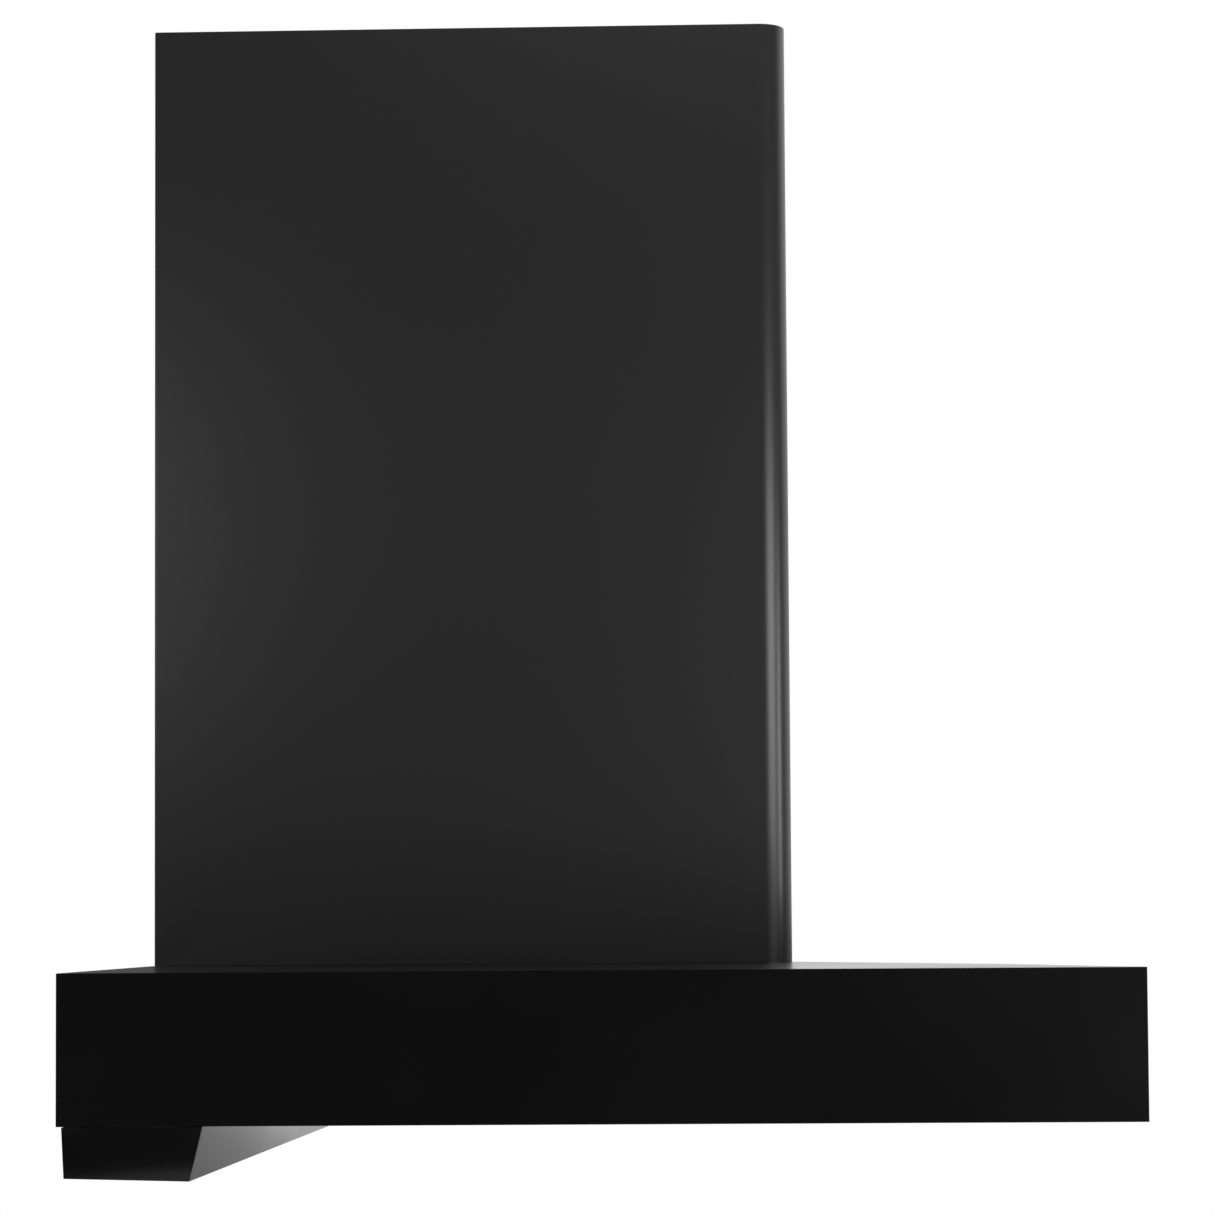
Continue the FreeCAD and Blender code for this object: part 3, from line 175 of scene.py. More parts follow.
class Finish(Nodes):
    """A material under its Principled shader."""

    def __init__(self, name, **constants):
        self.material = bpy.data.materials.new(name)
        self.material.use_nodes = True
        super().__init__(self.material.node_tree)
        self.shader = self.tree.nodes["Principled BSDF"]
        for words, value in constants.items():
            self.shader.inputs[words.replace("_", " ").title().replace("Ior", "IOR")].default_value = value

    def place(self, stretch=(1, 1, 1)):
        """The object's own coordinates, stretched."""
        spot = self.node("ShaderNodeTexCoord", out="Object")
        return self.node("ShaderNodeMapping", values={"Vector": spot, "Scale": stretch})

    def noise(self, scale, detail=2.0, stretch=(1, 1, 1)):
        """A soft random pattern in the object's own coordinates."""
        return self.node("ShaderNodeTexNoise", values={"Vector": self.place(stretch), "Scale": scale,
                                                       "Detail": detail}, out="Fac")

    def between(self, mask, low, high):
        """A number that follows the mask from low to high."""
        return self.node("ShaderNodeMapRange", values={"Value": mask, "To Min": low, "To Max": high})

    def tint(self, mask, dark, light):
        """A colour that follows the mask from dark to light."""
        return self.node("ShaderNodeMix", {"data_type": "RGBA"},
                         {"Factor": mask, 6: (*dark, 1), 7: (*light, 1)}, out=2)

    def feed(self, words, value):
        """Set or link an input of the shader."""
        self.join(value, self.shader.inputs[words])

    def bump(self, height, depth, strength=1.0):
        """Relief of a real depth in metres."""
        self.feed("Normal", self.node("ShaderNodeBump", values={"Height": height, "Distance": depth,
                                                                "Strength": strength}, out="Normal"))


def grey(level):
    """A neutral colour."""
    return (level, level, level)


# The floor is a plain pale disc, a cooker's height below the hood.
FLOOR_BELOW, FLOOR_RADIUS, FLOOR_BACK = 1.5, 1.8, 0.25
floor_mesh = bpy.data.meshes.new("floor")
shape = bmesh.new()
bmesh.ops.create_circle(shape, cap_ends=True, segments=96, radius=FLOOR_RADIUS,
                        matrix=Matrix.Translation((0, -FLOOR_BACK, RIM - FLOOR_BELOW)))
shape.to_mesh(floor_mesh)
shape.free()
floor = link(bpy.data.objects.new("floor", floor_mesh))
pale = Finish("pale_floor", roughness=0.75)
pale.feed("Base Color", pale.tint(pale.noise(6.0), grey(0.74), grey(0.8)))
floor_mesh.materials.append(pale.material)

# ---- canopy ------------------------------------------------------------------------------------
# One sheet of 1 mm steel, folded into a shallow tray with a very low hipped top, welded at its corners
# and enamelled glossy black.  Its folds have a small outside radius that catches the light.
enamel = Finish("black_enamel", roughness=0.2, ior=1.45)
haze = enamel.noise(9.0, 6.0)
enamel.feed("Base Color", enamel.tint(haze, grey(0.0035), grey(0.0055)))
enamel.feed("Roughness", enamel.between(haze, 0.17, 0.25))
enamel.bump(enamel.noise(420.0, 3.0), 0.00002, 0.35)

SKIN, FOLD, BEND_STEPS = 0.001, 0.0018, 5
CROWN_RISE, CROWN_MARGIN, RIM_RETURN, REAR_FLOOR = 0.0028, 0.0065, 0.02, 0.069
DRAIN = Vector((0.06, 0.006, 0.006))
DRAIN_PITCH, DRAIN_REACH = 0.12, 3
HEART_BACK, SHARP_FOLD = 0.2, math.radians(20)


def settle(piece, angle=32):
    """Apply a piece's modifiers and shade it smooth except over sharp angles."""
    bpy.context.view_layer.update()
    graph = bpy.context.evaluated_depsgraph_get()
    plain = bpy.data.meshes.new_from_object(piece.evaluated_get(graph))
    piece.modifiers.clear()
    piece.data = plain
    plain.shade_smooth()
    plain.set_sharp_from_angle(angle=math.radians(angle))
    return piece


def stand_in(piece, body, slot, *nodes):
    """The piece rides on a body and replaces these CAD nodes, which it hides; the slot is not used."""
    if nodes:
        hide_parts(*nodes)
    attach(piece, body)
    return piece


def to_object(name, shape, finish):
    """Turn an editable mesh into an object."""
    mesh = bpy.data.meshes.new(name)
    shape.to_mesh(mesh)
    shape.free()
    mesh.materials.append(finish.material)
    return link(bpy.data.objects.new(name, mesh))


def sheet_metal(piece, skin):
    """Give an open skin its thickness, inwards."""
    thick = piece.modifiers.new("skin", "SOLIDIFY")
    thick.thickness, thick.offset, thick.use_even_offset = skin, -1.0, True
    return piece


def skin_between(shape, loops, closed=True):
    """Faces from each loop of vertices to the next."""
    for first, second in zip(loops, loops[1:]):
        for i in range(len(first) if closed else len(first) - 1):
            j = (i + 1) % len(first)
            shape.faces.new((first[i], first[j], second[j], second[i]))


def outwards(shape, is_outer):
    """Make the sides agree, with the chosen face looking away from the middle."""
    bmesh.ops.recalc_face_normals(shape, faces=shape.faces)
    outer = max(shape.faces, key=is_outer)
    place = outer.calc_center_median()
    if outer.normal.dot(place - Vector((0, -HEART_BACK, place.z))) < 0:
        bmesh.ops.reverse_faces(shape, faces=shape.faces)


def blocks(name, boxes):
    """A tool of plain blocks, each from its lowest to its highest corner."""
    shape = bmesh.new()
    for low, high in boxes:
        middle, span = (low + high) / 2, high - low
        bmesh.ops.create_cube(shape, matrix=Matrix.Translation(middle) @ Matrix.Diagonal((*span, 1)))
    return to_object(name, shape, enamel)


def cut_away(piece, tool):
    """Cut the tool's blocks out of the piece and remove the tool."""
    slots = piece.modifiers.new("cuts", "BOOLEAN")
    slots.operation, slots.object, slots.solver = "DIFFERENCE", tool, "EXACT"
    settle(piece)
    bpy.data.objects.remove(tool)
    return piece


def ring(half, back, front, height):
    """Four corners, going round: half width, back and front edges, height."""
    return [(-half, back, height), (half, back, height), (half, front, height), (-half, front, height)]


low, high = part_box("canopy_shell")
half, front, CROWN = high.x, low.y, high.z
chimney_low, chimney_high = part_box("lower_chimney")
throat_low, throat_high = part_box("blower_box")
THROAT_IN = 0.012
shape = bmesh.new()
loops = [[shape.verts.new(corner) for corner in corners] for corners in (
    ring(half - RIM_RETURN, -REAR_FLOOR, front + RIM_RETURN, RIM), ring(half, 0, front, RIM),
    ring(half, 0, front, CROWN - CROWN_RISE),
    ring(chimney_high.x + CROWN_MARGIN, 0, chimney_low.y - CROWN_MARGIN, CROWN),
    ring(throat_high.x - THROAT_IN, -THROAT_IN, throat_low.y + THROAT_IN, CROWN))]
skin_between(shape, loops)
folds = [edge for edge in shape.edges if len(edge.link_faces) == 2
         and edge.calc_face_angle() > SHARP_FOLD]
bmesh.ops.bevel(shape, geom=folds, offset=FOLD, segments=BEND_STEPS, profile=0.5, affect="EDGES")
outwards(shape, lambda face: face.calc_area() * (face.calc_center_median().x > half * 0.98))
canopy = sheet_metal(to_object("canopy", shape, enamel), SKIN)
settle(canopy)
bezel_low, bezel_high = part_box("control_housing")
tray_low, tray_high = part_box("grease_tray")
drain_y = (tray_low.y + tray_high.y) / 2
openings = [(Vector((i * DRAIN_PITCH, drain_y, RIM)) - DRAIN / 2,
             Vector((i * DRAIN_PITCH, drain_y, RIM)) + DRAIN / 2)
            for i in range(-DRAIN_REACH, DRAIN_REACH + 1)]
EASE = Vector((0.0004, 0.004, 0.0004))
openings.append((bezel_low - EASE, Vector((bezel_high.x, front + SKIN, bezel_high.z)) + EASE))
cut_away(canopy, blocks("canopy_cuts", openings))
stand_in(canopy, "hood", "canopy_black", "canopy_shell")

# ---- chimney -----------------------------------------------------------------------------------
# Two sheets folded into sleeves, the upper one inside the lower.  Both are powder coated in satin
# charcoal with a very fine grain, have a generous round front corner and turn in along the wall.
coat = Finish("charcoal_powder_coat", roughness=0.42, ior=1.5)
grain = coat.noise(2600.0, 2.0)
cloud = coat.noise(5.0, 3.0)
coat.feed("Base Color", coat.tint(grain * 0.75 + cloud * 0.25, grey(0.022), grey(0.036)))
coat.feed("Roughness", coat.between(grain, 0.26, 0.36))
coat.bump(grain, 0.00004, 0.6)


def arc(centre, radius, start, sweep, steps):
    """Points on an arc, in degrees."""
    return [(centre[0] + radius * math.cos(math.radians(start + sweep * i / steps)),
             centre[1] + radius * math.sin(math.radians(start + sweep * i / steps)))
            for i in range(steps + 1)]


def soft_edges(piece, width, segments=2, angle=40):
    """Round the sharp edges a little."""
    soft = piece.modifiers.new("soft", "BEVEL")
    soft.width, soft.segments, soft.limit_method = width, segments, "ANGLE"
    soft.angle_limit = math.radians(angle)
    return piece


def sleeve(name, node, corner, skin):
    """A folded section: wall return, side, round corner, front, and the same again."""
    low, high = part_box(node)
    bend, turn_in, half = 0.0012, 0.015, high.x
    path = [(half - skin - turn_in, high.y)]
    path += arc((half - bend, high.y - bend), bend, 90, -90, 4)
    path += arc((half - corner, low.y + corner), corner, 0, -90, 16)
    path += [(-x, y) for x, y in reversed(path)]
    shape = bmesh.new()
    skin_between(shape, [[shape.verts.new((x, y, level)) for x, y in path] for level in (low.z, high.z)],
                 closed=False)
    outwards(shape, lambda face: face.calc_area() * (face.calc_center_median().x > half * 0.99))
    piece = sheet_metal(to_object(name, shape, coat), skin)
    return settle(soft_edges(piece, 0.0003, angle=60))


CORNER, NESTING, CHIMNEY_SKIN, UPPER_SKIN = 0.0142, 0.0018, 0.001, 0.0008
stand_in(sleeve("chimney_lower", "lower_chimney", CORNER, CHIMNEY_SKIN), "hood", "chimney_charcoal",
         "lower_chimney")
stand_in(sleeve("chimney_upper", "upper_chimney", CORNER - NESTING, UPPER_SKIN), "upper_chimney",
         "chimney_charcoal", "upper_chimney")

# ---- grease tray and rails ---------------------------------------------------------------------
# A long pressed trough under the canopy's rear edge, in the same black enamel.  Its ends and front
# slope in, and its turned-in lips hang on two folded steel rails, along which it slides out.
zinc = Finish("galvanised_sheet", roughness=0.4, metallic=1.0)
spangle = zinc.node("ShaderNodeSeparateColor", values={
    0: zinc.node("ShaderNodeTexVoronoi", values={"Vector": zinc.place(), "Scale": 110.0}, out="Color")})
zinc.feed("Base Color", zinc.tint(spangle, (0.42, 0.435, 0.45), (0.62, 0.63, 0.64)))
zinc.feed("Roughness", zinc.between(spangle, 0.3, 0.5))
zinc.bump(zinc.noise(900.0), 0.00002, 0.4)
WELD = 2e-6


def softened(name, node, body, slot, finish, width=0.0003, angle=35):
    """The node's own shape with its sharp edges rounded."""
    shape = bmesh.new()
    shape.from_mesh(bpy.data.objects[node].data)
    bmesh.ops.remove_doubles(shape, verts=shape.verts, dist=WELD)
    bmesh.ops.dissolve_limit(shape, angle_limit=math.radians(1), verts=shape.verts, edges=shape.edges)
    piece = to_object(name, shape, finish)
    settle(soft_edges(piece, width, angle=angle))
    return stand_in(piece, body, slot, node)


softened("grease_trough", "grease_tray", "grease_tray", "canopy_black", enamel, 0.0007)
for side in ("front", "rear"):
    softened(f"rail_{side}", f"tray_rail_{side}", "hood", "galvanised", zinc, 0.0002)

# ---- blower box, feet and brackets -------------------------------------------------------------
# Galvanised sheet, folded and spot welded: the box that hangs on the wall, its lid, the two angles that
# hold the lower chimney, and the bracket at the chimney's top.
softened("hung_box", "blower_box", "hood", "galvanised", zinc, 0.0004)
softened("box_top", "blower_box_lid", "hood", "galvanised", zinc, 0.0002)
for side in ("left", "right"):
    softened(f"foot_angle_{side}", f"chimney_foot_{side}", "hood", "galvanised", zinc)
softened("wall_strap", "chimney_wall_bracket", "upper_chimney", "galvanised", zinc)
softened("motor_spider", "motor_bracket", "hood", "galvanised", zinc)

# ---- screws and rivets -------------------------------------------------------------------------
# Small zinc plated pan heads with a cross recess, and the domed rivets that hold the underside panel.
# One recipe puts a fastener at each place where the model has one.
plated = Finish("zinc_plate", roughness=0.32, metallic=1.0)
scuffs = plated.noise(700.0, 4.0)
plated.feed("Base Color", plated.tint(scuffs, (0.5, 0.5, 0.49), (0.66, 0.66, 0.65)))
plated.feed("Roughness", plated.between(scuffs, 0.24, 0.42))


class Recipe(Nodes):
    """A Geometry Nodes tree with named inputs, which ends in Realize Instances and Set Material."""

    def __init__(self, name, **inputs):
        super().__init__(bpy.data.node_groups.new(name, "GeometryNodeTree"))
        face = self.tree.interface
        face.new_socket("Start", in_out="INPUT", socket_type="NodeSocketGeometry")
        for words, kind in {**inputs, "Finish": "Material"}.items():
            face.new_socket(words, in_out="INPUT", socket_type="NodeSocket" + kind)
        face.new_socket("Result", in_out="OUTPUT", socket_type="NodeSocketGeometry")
        self.entry = self.tree.nodes.new("NodeGroupInput")

    def given(self, words):
        """One of the recipe's inputs."""
        return Wire(self, self.entry.outputs[words])

    def close(self, geometry):
        """End the recipe with real meshes that carry the finish."""
        real = self.node("GeometryNodeRealizeInstances", values={"Geometry": geometry})
        coated = self.node("GeometryNodeSetMaterial", values={"Geometry": real,
                                                              "Material": self.given("Finish")})
        self.node("NodeGroupOutput", values={"Result": coated})

    def make(self, name, finish, start=(), **values):
        """Run the recipe on loose points and keep the result as a plain mesh."""
        mesh = bpy.data.meshes.new(name)
        mesh.from_pydata([tuple(spot) for spot in start], [], [])
        piece = link(bpy.data.objects.new(name, mesh))
        step = piece.modifiers.new("recipe", "NODES")
        step.node_group = self.tree
        named = {item.name: item.identifier for item in self.tree.interface.items_tree}
        for words, value in {**values, "Finish": finish.material}.items():
            step[named[words]] = value
        return settle(piece)


fastener = Recipe("fastener", Head_Radius="Float", Head_Height="Float", Dome="Float", Recess="Float",
                  Shank_Radius="Float", Shank_Length="Float", Tilt="Vector")
tall = fastener.given("Head_Height")
blank = fastener.node("GeometryNodeMeshCylinder", values={
    "Vertices": 28, "Side Segments": 5, "Radius": fastener.given("Head_Radius"), "Depth": tall})
spot = fastener.node("GeometryNodeInputPosition")
rise = fastener.node("ShaderNodeSeparateXYZ", values={0: spot}, out="Z") / tall + 0.5
waist = fastener.node("ShaderNodeMath", {"operation": "SQRT"}, {0: 1 - rise * rise * fastener.given("Dome")})
squeeze = fastener.node("ShaderNodeCombineXYZ", values={"X": waist, "Y": waist, "Z": 1.0})
lift = fastener.node("ShaderNodeCombineXYZ", values={"Z": tall * 0.5})
domed = fastener.node("GeometryNodeSetPosition", values={
    "Geometry": blank, "Offset": lift,
    "Position": fastener.node("ShaderNodeVectorMath", {"operation": "MULTIPLY"}, {0: spot, 1: squeeze})})
CROSS_SLIM, CROSS_UP = 0.28, 1.05
wide, narrow = fastener.given("Recess"), fastener.given("Recess") * CROSS_SLIM
bars = [fastener.node("GeometryNodeMeshCube", values={"Size": fastener.node(
    "ShaderNodeCombineXYZ", values={"X": across, "Y": along, "Z": tall})})
        for across, along in ((wide, narrow), (narrow, wide))]
cross = fastener.node("GeometryNodeTransform", values={
    "Geometry": fastener.node("GeometryNodeJoinGeometry", values={0: bars}),
    "Translation": fastener.node("ShaderNodeCombineXYZ", values={"Z": tall * CROSS_UP})})
head = fastener.node("GeometryNodeMeshBoolean", {"operation": "DIFFERENCE"},
                     {"Mesh 1": domed, "Mesh 2": cross})
stem = fastener.node("GeometryNodeTransform", values={
    "Geometry": fastener.node("GeometryNodeMeshCylinder", values={
        "Vertices": 16, "Radius": fastener.given("Shank_Radius"), "Depth": fastener.given("Shank_Length")}),
    "Translation": fastener.node("ShaderNodeCombineXYZ", values={
        "Z": fastener.given("Shank_Length") * -0.5})})
placed = fastener.node("GeometryNodeInstanceOnPoints", values={
    "Points": fastener.given("Start"), "Rotation": fastener.given("Tilt"),
    "Instance": fastener.node("GeometryNodeJoinGeometry", values={0: [head, stem]})})
fastener.close(placed)


def islands(node):
    """The lowest and highest corner of each separate solid in a node."""
    shape = bmesh.new()
    shape.from_mesh(bpy.data.objects[node].data)
    bmesh.ops.remove_doubles(shape, verts=shape.verts, dist=WELD)
    waiting, found = set(shape.verts), []
    while waiting:
        edge_of, group = [waiting.pop()], []
        while edge_of:
            vertex = edge_of.pop()
            group.append(vertex.co.copy())
            for edge in vertex.link_edges:
                other = edge.other_vert(vertex)
                if other in waiting:
                    waiting.remove(other)
                    edge_of.append(other)
        found.append((Vector([min(co[i] for co in group) for i in range(3)]),
                      Vector([max(co[i] for co in group) for i in range(3)])))
    shape.free()
    return sorted(found, key=lambda pair: tuple(pair[0]))


HEAD_TALL, HEAD_RADIUS, SHANK_RADIUS = 0.002, 0.0038, 0.002
SCREW_DOME, SCREW_CROSS, RIVET_DOME, RIVET_CROSS = 0.45, 0.0042, 0.9, 0.0001
UP, DOWN, SIDE, BACK = (0, 0, 0), (math.pi, 0, 0), (0, math.pi / 2, 0), (math.pi / 2, 0, 0)
for node, body, tilt, along, end in (
        ("box_screws", "hood", DOWN, 2, 0), ("foot_screws", "hood", DOWN, 2, 0),
        ("spigot_screws", "hood", UP, 2, 1), ("scroll_screws", "hood", SIDE, 0, 1),
        ("motor_screws", "hood", SIDE, 0, 1), ("panel_rivets", "hood", UP, 2, 1),
        ("bracket_screws", "upper_chimney", BACK, 1, 0)):
    pairs = islands(node)
    spots = []
    for pair in pairs:
        seat = (pair[0] + pair[1]) / 2
        seat[along] = pair[end][along] + (HEAD_TALL if end == 0 else -HEAD_TALL)
        spots.append(seat)
    rivet = node == "panel_rivets"
    piece = fastener.make(f"fitted_{node}", plated, spots, Head_Radius=HEAD_RADIUS, Head_Height=HEAD_TALL,
                          Dome=RIVET_DOME if rivet else SCREW_DOME,
                          Recess=RIVET_CROSS if rivet else SCREW_CROSS,
                          Shank_Radius=SHANK_RADIUS, Tilt=tilt,
                          Shank_Length=(pairs[0][1] - pairs[0][0])[along] - HEAD_TALL)
    stand_in(piece, body, "steel_pins", node)

# ---- scroll, motor and impeller ----------------------------------------------------------------
# The scroll is moulded in two halves of grey plastic.  The impeller is a double-inlet wheel of forward
# curved blades, moulded in one with its hub, on the shaft of a laminated motor that it surrounds.
moulded = Finish("grey_moulding", roughness=0.5, ior=1.46)
speckle = moulded.noise(1600.0, 2.0)
flow = moulded.noise(14.0, 4.0)
moulded.feed("Base Color", moulded.tint(flow, (0.17, 0.18, 0.19), (0.23, 0.24, 0.25)))
moulded.feed("Roughness", moulded.between(speckle, 0.42, 0.6))
moulded.bump(speckle, 0.00004, 0.5)
for side in ("left", "right"):
    softened(f"volute_{side}", f"scroll_half_{side}", "hood", "grey_plastic", moulded, 0.0006)


def soft_corners(corners, radius, steps=3):
    """A closed outline with its corners rounded as far as the sides allow."""
    made = []
    for i, here in enumerate(corners):
        here, before = Vector(here), Vector(corners[i - 1])
        after = Vector(corners[(i + 1) % len(corners)])
        reach = min(radius, (before - here).length * 0.45, (after - here).length * 0.45)
        start = here + (before - here).normalized() * reach
        finish = here + (after - here).normalized() * reach
        for k in range(steps + 1):
            t = k / steps
            made.append(start * (1 - t) ** 2 + here * 2 * t * (1 - t) + finish * t * t)
    return made


SPIN = {"X": Matrix(((0, 0, 1), (1, 0, 0), (0, 1, 0))), "Y": Matrix(((0, 1, 0), (0, 0, 1), (1, 0, 0))),
        "Z": Matrix.Identity(3)}


def lathed(name, profile, axis, centre, finish, radius=0.0004, steps=72):
    """A solid of revolution from a closed outline of (radius, place along the axis)."""
    outline = soft_corners(profile, radius)
    shape = bmesh.new()
    loops = []
    for turn in range(steps):
        angle = 2 * math.pi * turn / steps
        loops.append([shape.verts.new(Vector(centre) + SPIN[axis] @ Vector(
            (max(r, 0) * math.cos(angle), max(r, 0) * math.sin(angle), h))) for r, h in outline])
    for i in range(steps):
        first, second = loops[i], loops[(i + 1) % steps]
        for k in range(len(outline)):
            j = (k + 1) % len(outline)
            shape.faces.new((first[k], first[j], second[j], second[k]))
    bmesh.ops.remove_doubles(shape, verts=shape.verts, dist=1e-7)
    bmesh.ops.dissolve_degenerate(shape, edges=shape.edges, dist=1e-8)
    bmesh.ops.recalc_face_normals(shape, faces=shape.faces)
    return to_object(name, shape, finish)


def prism(name, outline, axis, low, high, finish):
    """A straight solid along an axis from a closed outline."""
    shape = bmesh.new()
    loops = [[shape.verts.new(SPIN[axis] @ Vector((*corner, level))) for corner in outline]
             for level in (low, high)]
    skin_between(shape, loops)
    shape.faces.new(loops[0])
    shape.faces.new(loops[1])
    bmesh.ops.recalc_face_normals(shape, faces=shape.faces)
    return to_object(name, shape, finish)


def joined(name, pieces):
    """Several objects as one mesh."""
    shape = bmesh.new()
    for piece in pieces:
        shape.from_mesh(piece.data)
    finish = pieces[0].data.materials[0]
    for piece in pieces:
        bpy.data.objects.remove(piece)
    mesh = bpy.data.meshes.new(name)
    shape.to_mesh(mesh)
    shape.free()
    mesh.materials.append(finish)
    return settle(link(bpy.data.objects.new(name, mesh)))


repeat = Recipe("repeat", Blank="Object", Count="Int", First="Vector", Step="Vector", Tilt="Vector",
                Turn="Vector")
places = repeat.node("GeometryNodeMeshLine", values={
    "Count": repeat.given("Count"), "Start Location": repeat.given("First"), "Offset": repeat.given("Step")})
turned = repeat.node("ShaderNodeVectorMath", {"operation": "SCALE"}, {
    0: repeat.given("Turn"), "Scale": repeat.node("GeometryNodeInputIndex")})
spun = repeat.node("ShaderNodeVectorMath", values={0: repeat.given("Tilt"), 1: turned})
shapes = repeat.node("GeometryNodeObjectInfo", values={"Object": repeat.given("Blank")}, out="Geometry")
repeat.close(repeat.node("GeometryNodeInstanceOnPoints", values={
    "Points": places, "Instance": shapes, "Rotation": spun}))


def repeated(name, blank, finish, count, first, step=(0, 0, 0), tilt=(0, 0, 0), turn=(0, 0, 0)):
    """Copies of a blank in a row or round an axis; the blank is used up."""
    piece = repeat.make(name, finish, Blank=blank, Count=count, First=first, Step=step, Tilt=tilt, Turn=turn)
    bpy.data.objects.remove(blank)
    return piece


wheel_low, wheel_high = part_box("impeller")
fan = (wheel_low + wheel_high) / 2
WHEEL, WIDE, BLADES, BLADE_DEEP, DISC = wheel_high.z - fan.z, wheel_high.x, 30, 0.013, 0.002
HUB, BORE, HUB_BACK = 0.012, 0.00405, 0.014
BLADE_BEND, BLADE_INNER, BLADE_FROM, BLADE_SWEEP, BLADE_STEPS = 0.0125, 0.0117, 20, 62, 6
swing = arc((0, 0), BLADE_BEND, BLADE_FROM, BLADE_SWEEP, BLADE_STEPS)
inner = arc((0, 0), BLADE_INNER, BLADE_FROM + BLADE_SWEEP, -BLADE_SWEEP, BLADE_STEPS)
middle = Vector(swing[3])
blade_outline = [(WHEEL - BLADE_DEEP / 2 - 0.0002 + (y - middle.y) * 0.98, (x - middle.x) * 0.98)
                 for x, y in swing + inner]
blade = prism("blade", blade_outline, "X", -WIDE + DISC / 2, WIDE - DISC / 2, moulded)
blades = repeated("blades", blade, moulded, BLADES, fan, turn=(2 * math.pi / BLADES, 0, 0))
rims = [lathed("rim", [(WHEEL - BLADE_DEEP, x), (WHEEL, x), (WHEEL, x + DISC),
                       (WHEEL - BLADE_DEEP, x + DISC)], "X", fan, moulded) for x in (-WIDE, WIDE - DISC)]
plate = lathed("plate", [(BORE, -DISC / 2 - HUB_BACK + DISC), (HUB * 0.85, -DISC / 2 - HUB_BACK + DISC),
                         (HUB, -DISC / 2 - 0.003), (HUB + 0.006, -DISC / 2), (WHEEL - 0.0005, -DISC / 2),
                         (WHEEL - 0.0005, DISC / 2), (BORE, DISC / 2)], "X", fan, moulded)
WEBS, WEB_FROM, WEB_TO, WEB_HALF = 6, HUB * 0.8, 0.036, 0.0008
web = prism("web", soft_corners([(WEB_FROM, -WEB_HALF), (WEB_TO, -WEB_HALF), (WEB_TO, WEB_HALF),
                                 (WEB_FROM, WEB_HALF)], 0.0004), "X", -0.006, -DISC / 2 + 0.0002, moulded)
webs = repeated("webs", web, moulded, WEBS, fan, turn=(2 * math.pi / WEBS, 0, 0))
stand_in(joined("fan_wheel", [blades, plate, webs, *rims]), "impeller", "grey_plastic", "impeller")

paint = Finish("motor_paint", roughness=0.45, metallic=0.6)
streak = paint.noise(60.0, 5.0)
paint.feed("Base Color", paint.tint(streak, grey(0.13), grey(0.2)))
paint.feed("Roughness", paint.between(streak, 0.35, 0.55))
paint.bump(paint.noise(500.0), 0.00003, 0.4)
motor_low, motor_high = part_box("motor")
MOTOR, NOSE, AXLE, MOTOR_RIBS = motor_high.z - fan.z, 0.0133, 0.0041, 12
front_x, rear_x = motor_low.x + 0.003, motor_high.x
profile = [(AXLE, motor_low.x), (NOSE, motor_low.x), (NOSE, front_x), (MOTOR - 0.004, front_x)]
PLATES = 14
stack = (rear_x - front_x) / (2 * PLATES + 6)
for i in range(PLATES):
    start = front_x + (2 * i + 3) * stack
    profile += [(MOTOR - 0.0006, start), (MOTOR, start + 0.2 * stack), (MOTOR, start + 0.8 * stack),
                (MOTOR - 0.0006, start + stack)]
profile += [(MOTOR - 0.003, rear_x), (AXLE, rear_x)]
can = lathed("can", profile, "X", (0, fan.y, fan.z), paint, 0.0002)
rib = prism("rib", soft_corners([(NOSE, -0.001), (MOTOR - 0.006, -0.001), (MOTOR - 0.006, 0.001),
                                 (NOSE, 0.001)], 0.0005), "X", front_x - 0.0016, front_x + 0.001, paint)
ribs = repeated("ribs", rib, paint, MOTOR_RIBS, (0, fan.y, fan.z), turn=(2 * math.pi / MOTOR_RIBS, 0, 0))
stand_in(joined("wound_motor", [can, ribs]), "hood", "motor_steel", "motor")
softened("locknut", "hub_nut", "impeller", "steel_pins", plated, 0.0003)
for node in ("motor_shaft", "damper_pin"):
    bpy.data.objects[node].material_slots[0].material = plated.material
for side, sign in (("left", -1), ("right", 1)):
    ring_low, ring_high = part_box(f"inlet_ring_{side}")
    face, lip = (ring_high.x, ring_low.x) if sign > 0 else (ring_low.x, ring_high.x)
    outer, mouth, shoulder, neck = ring_high.z - fan.z, 0.054, 0.0575, 0.0562
    sheet_in = face - sign * 0.0015
    bell = [(outer, sheet_in), (outer, face), (shoulder, face), (neck, face - sign * 0.0006),
            (mouth + 0.0006, face - sign * 0.0026), (mouth, face - sign * 0.005), (mouth, lip),
            (mouth + 0.0012, lip), (mouth + 0.0012, face - sign * 0.0052), (neck, sheet_in - sign * 0.001),
            (shoulder + 0.0001, sheet_in)]
    piece = lathed(f"bellmouth_{side}", bell, "X", (0, fan.y, fan.z), zinc, 0.0006)
    stand_in(settle(piece), "hood", "galvanised", f"inlet_ring_{side}")

# ---- outlet and damper -------------------------------------------------------------------------
# The moulded spigot that the duct slips over, and the two light flaps that the airflow lifts.
softened("outlet_collar", "duct_spigot", "hood", "grey_plastic", moulded, 0.0004)
black = Finish("black_moulding", roughness=0.45, ior=1.46)
sand = black.noise(1900.0, 2.0)
black.feed("Base Color", black.tint(sand, grey(0.012), grey(0.02)))
black.feed("Roughness", black.between(sand, 0.4, 0.58))
black.bump(sand, 0.00004, 0.5)
for side in ("front", "rear"):
    softened(f"flap_{side}", f"damper_flap_{side}", f"damper_{side}", "black_plastic", black, 0.0002)

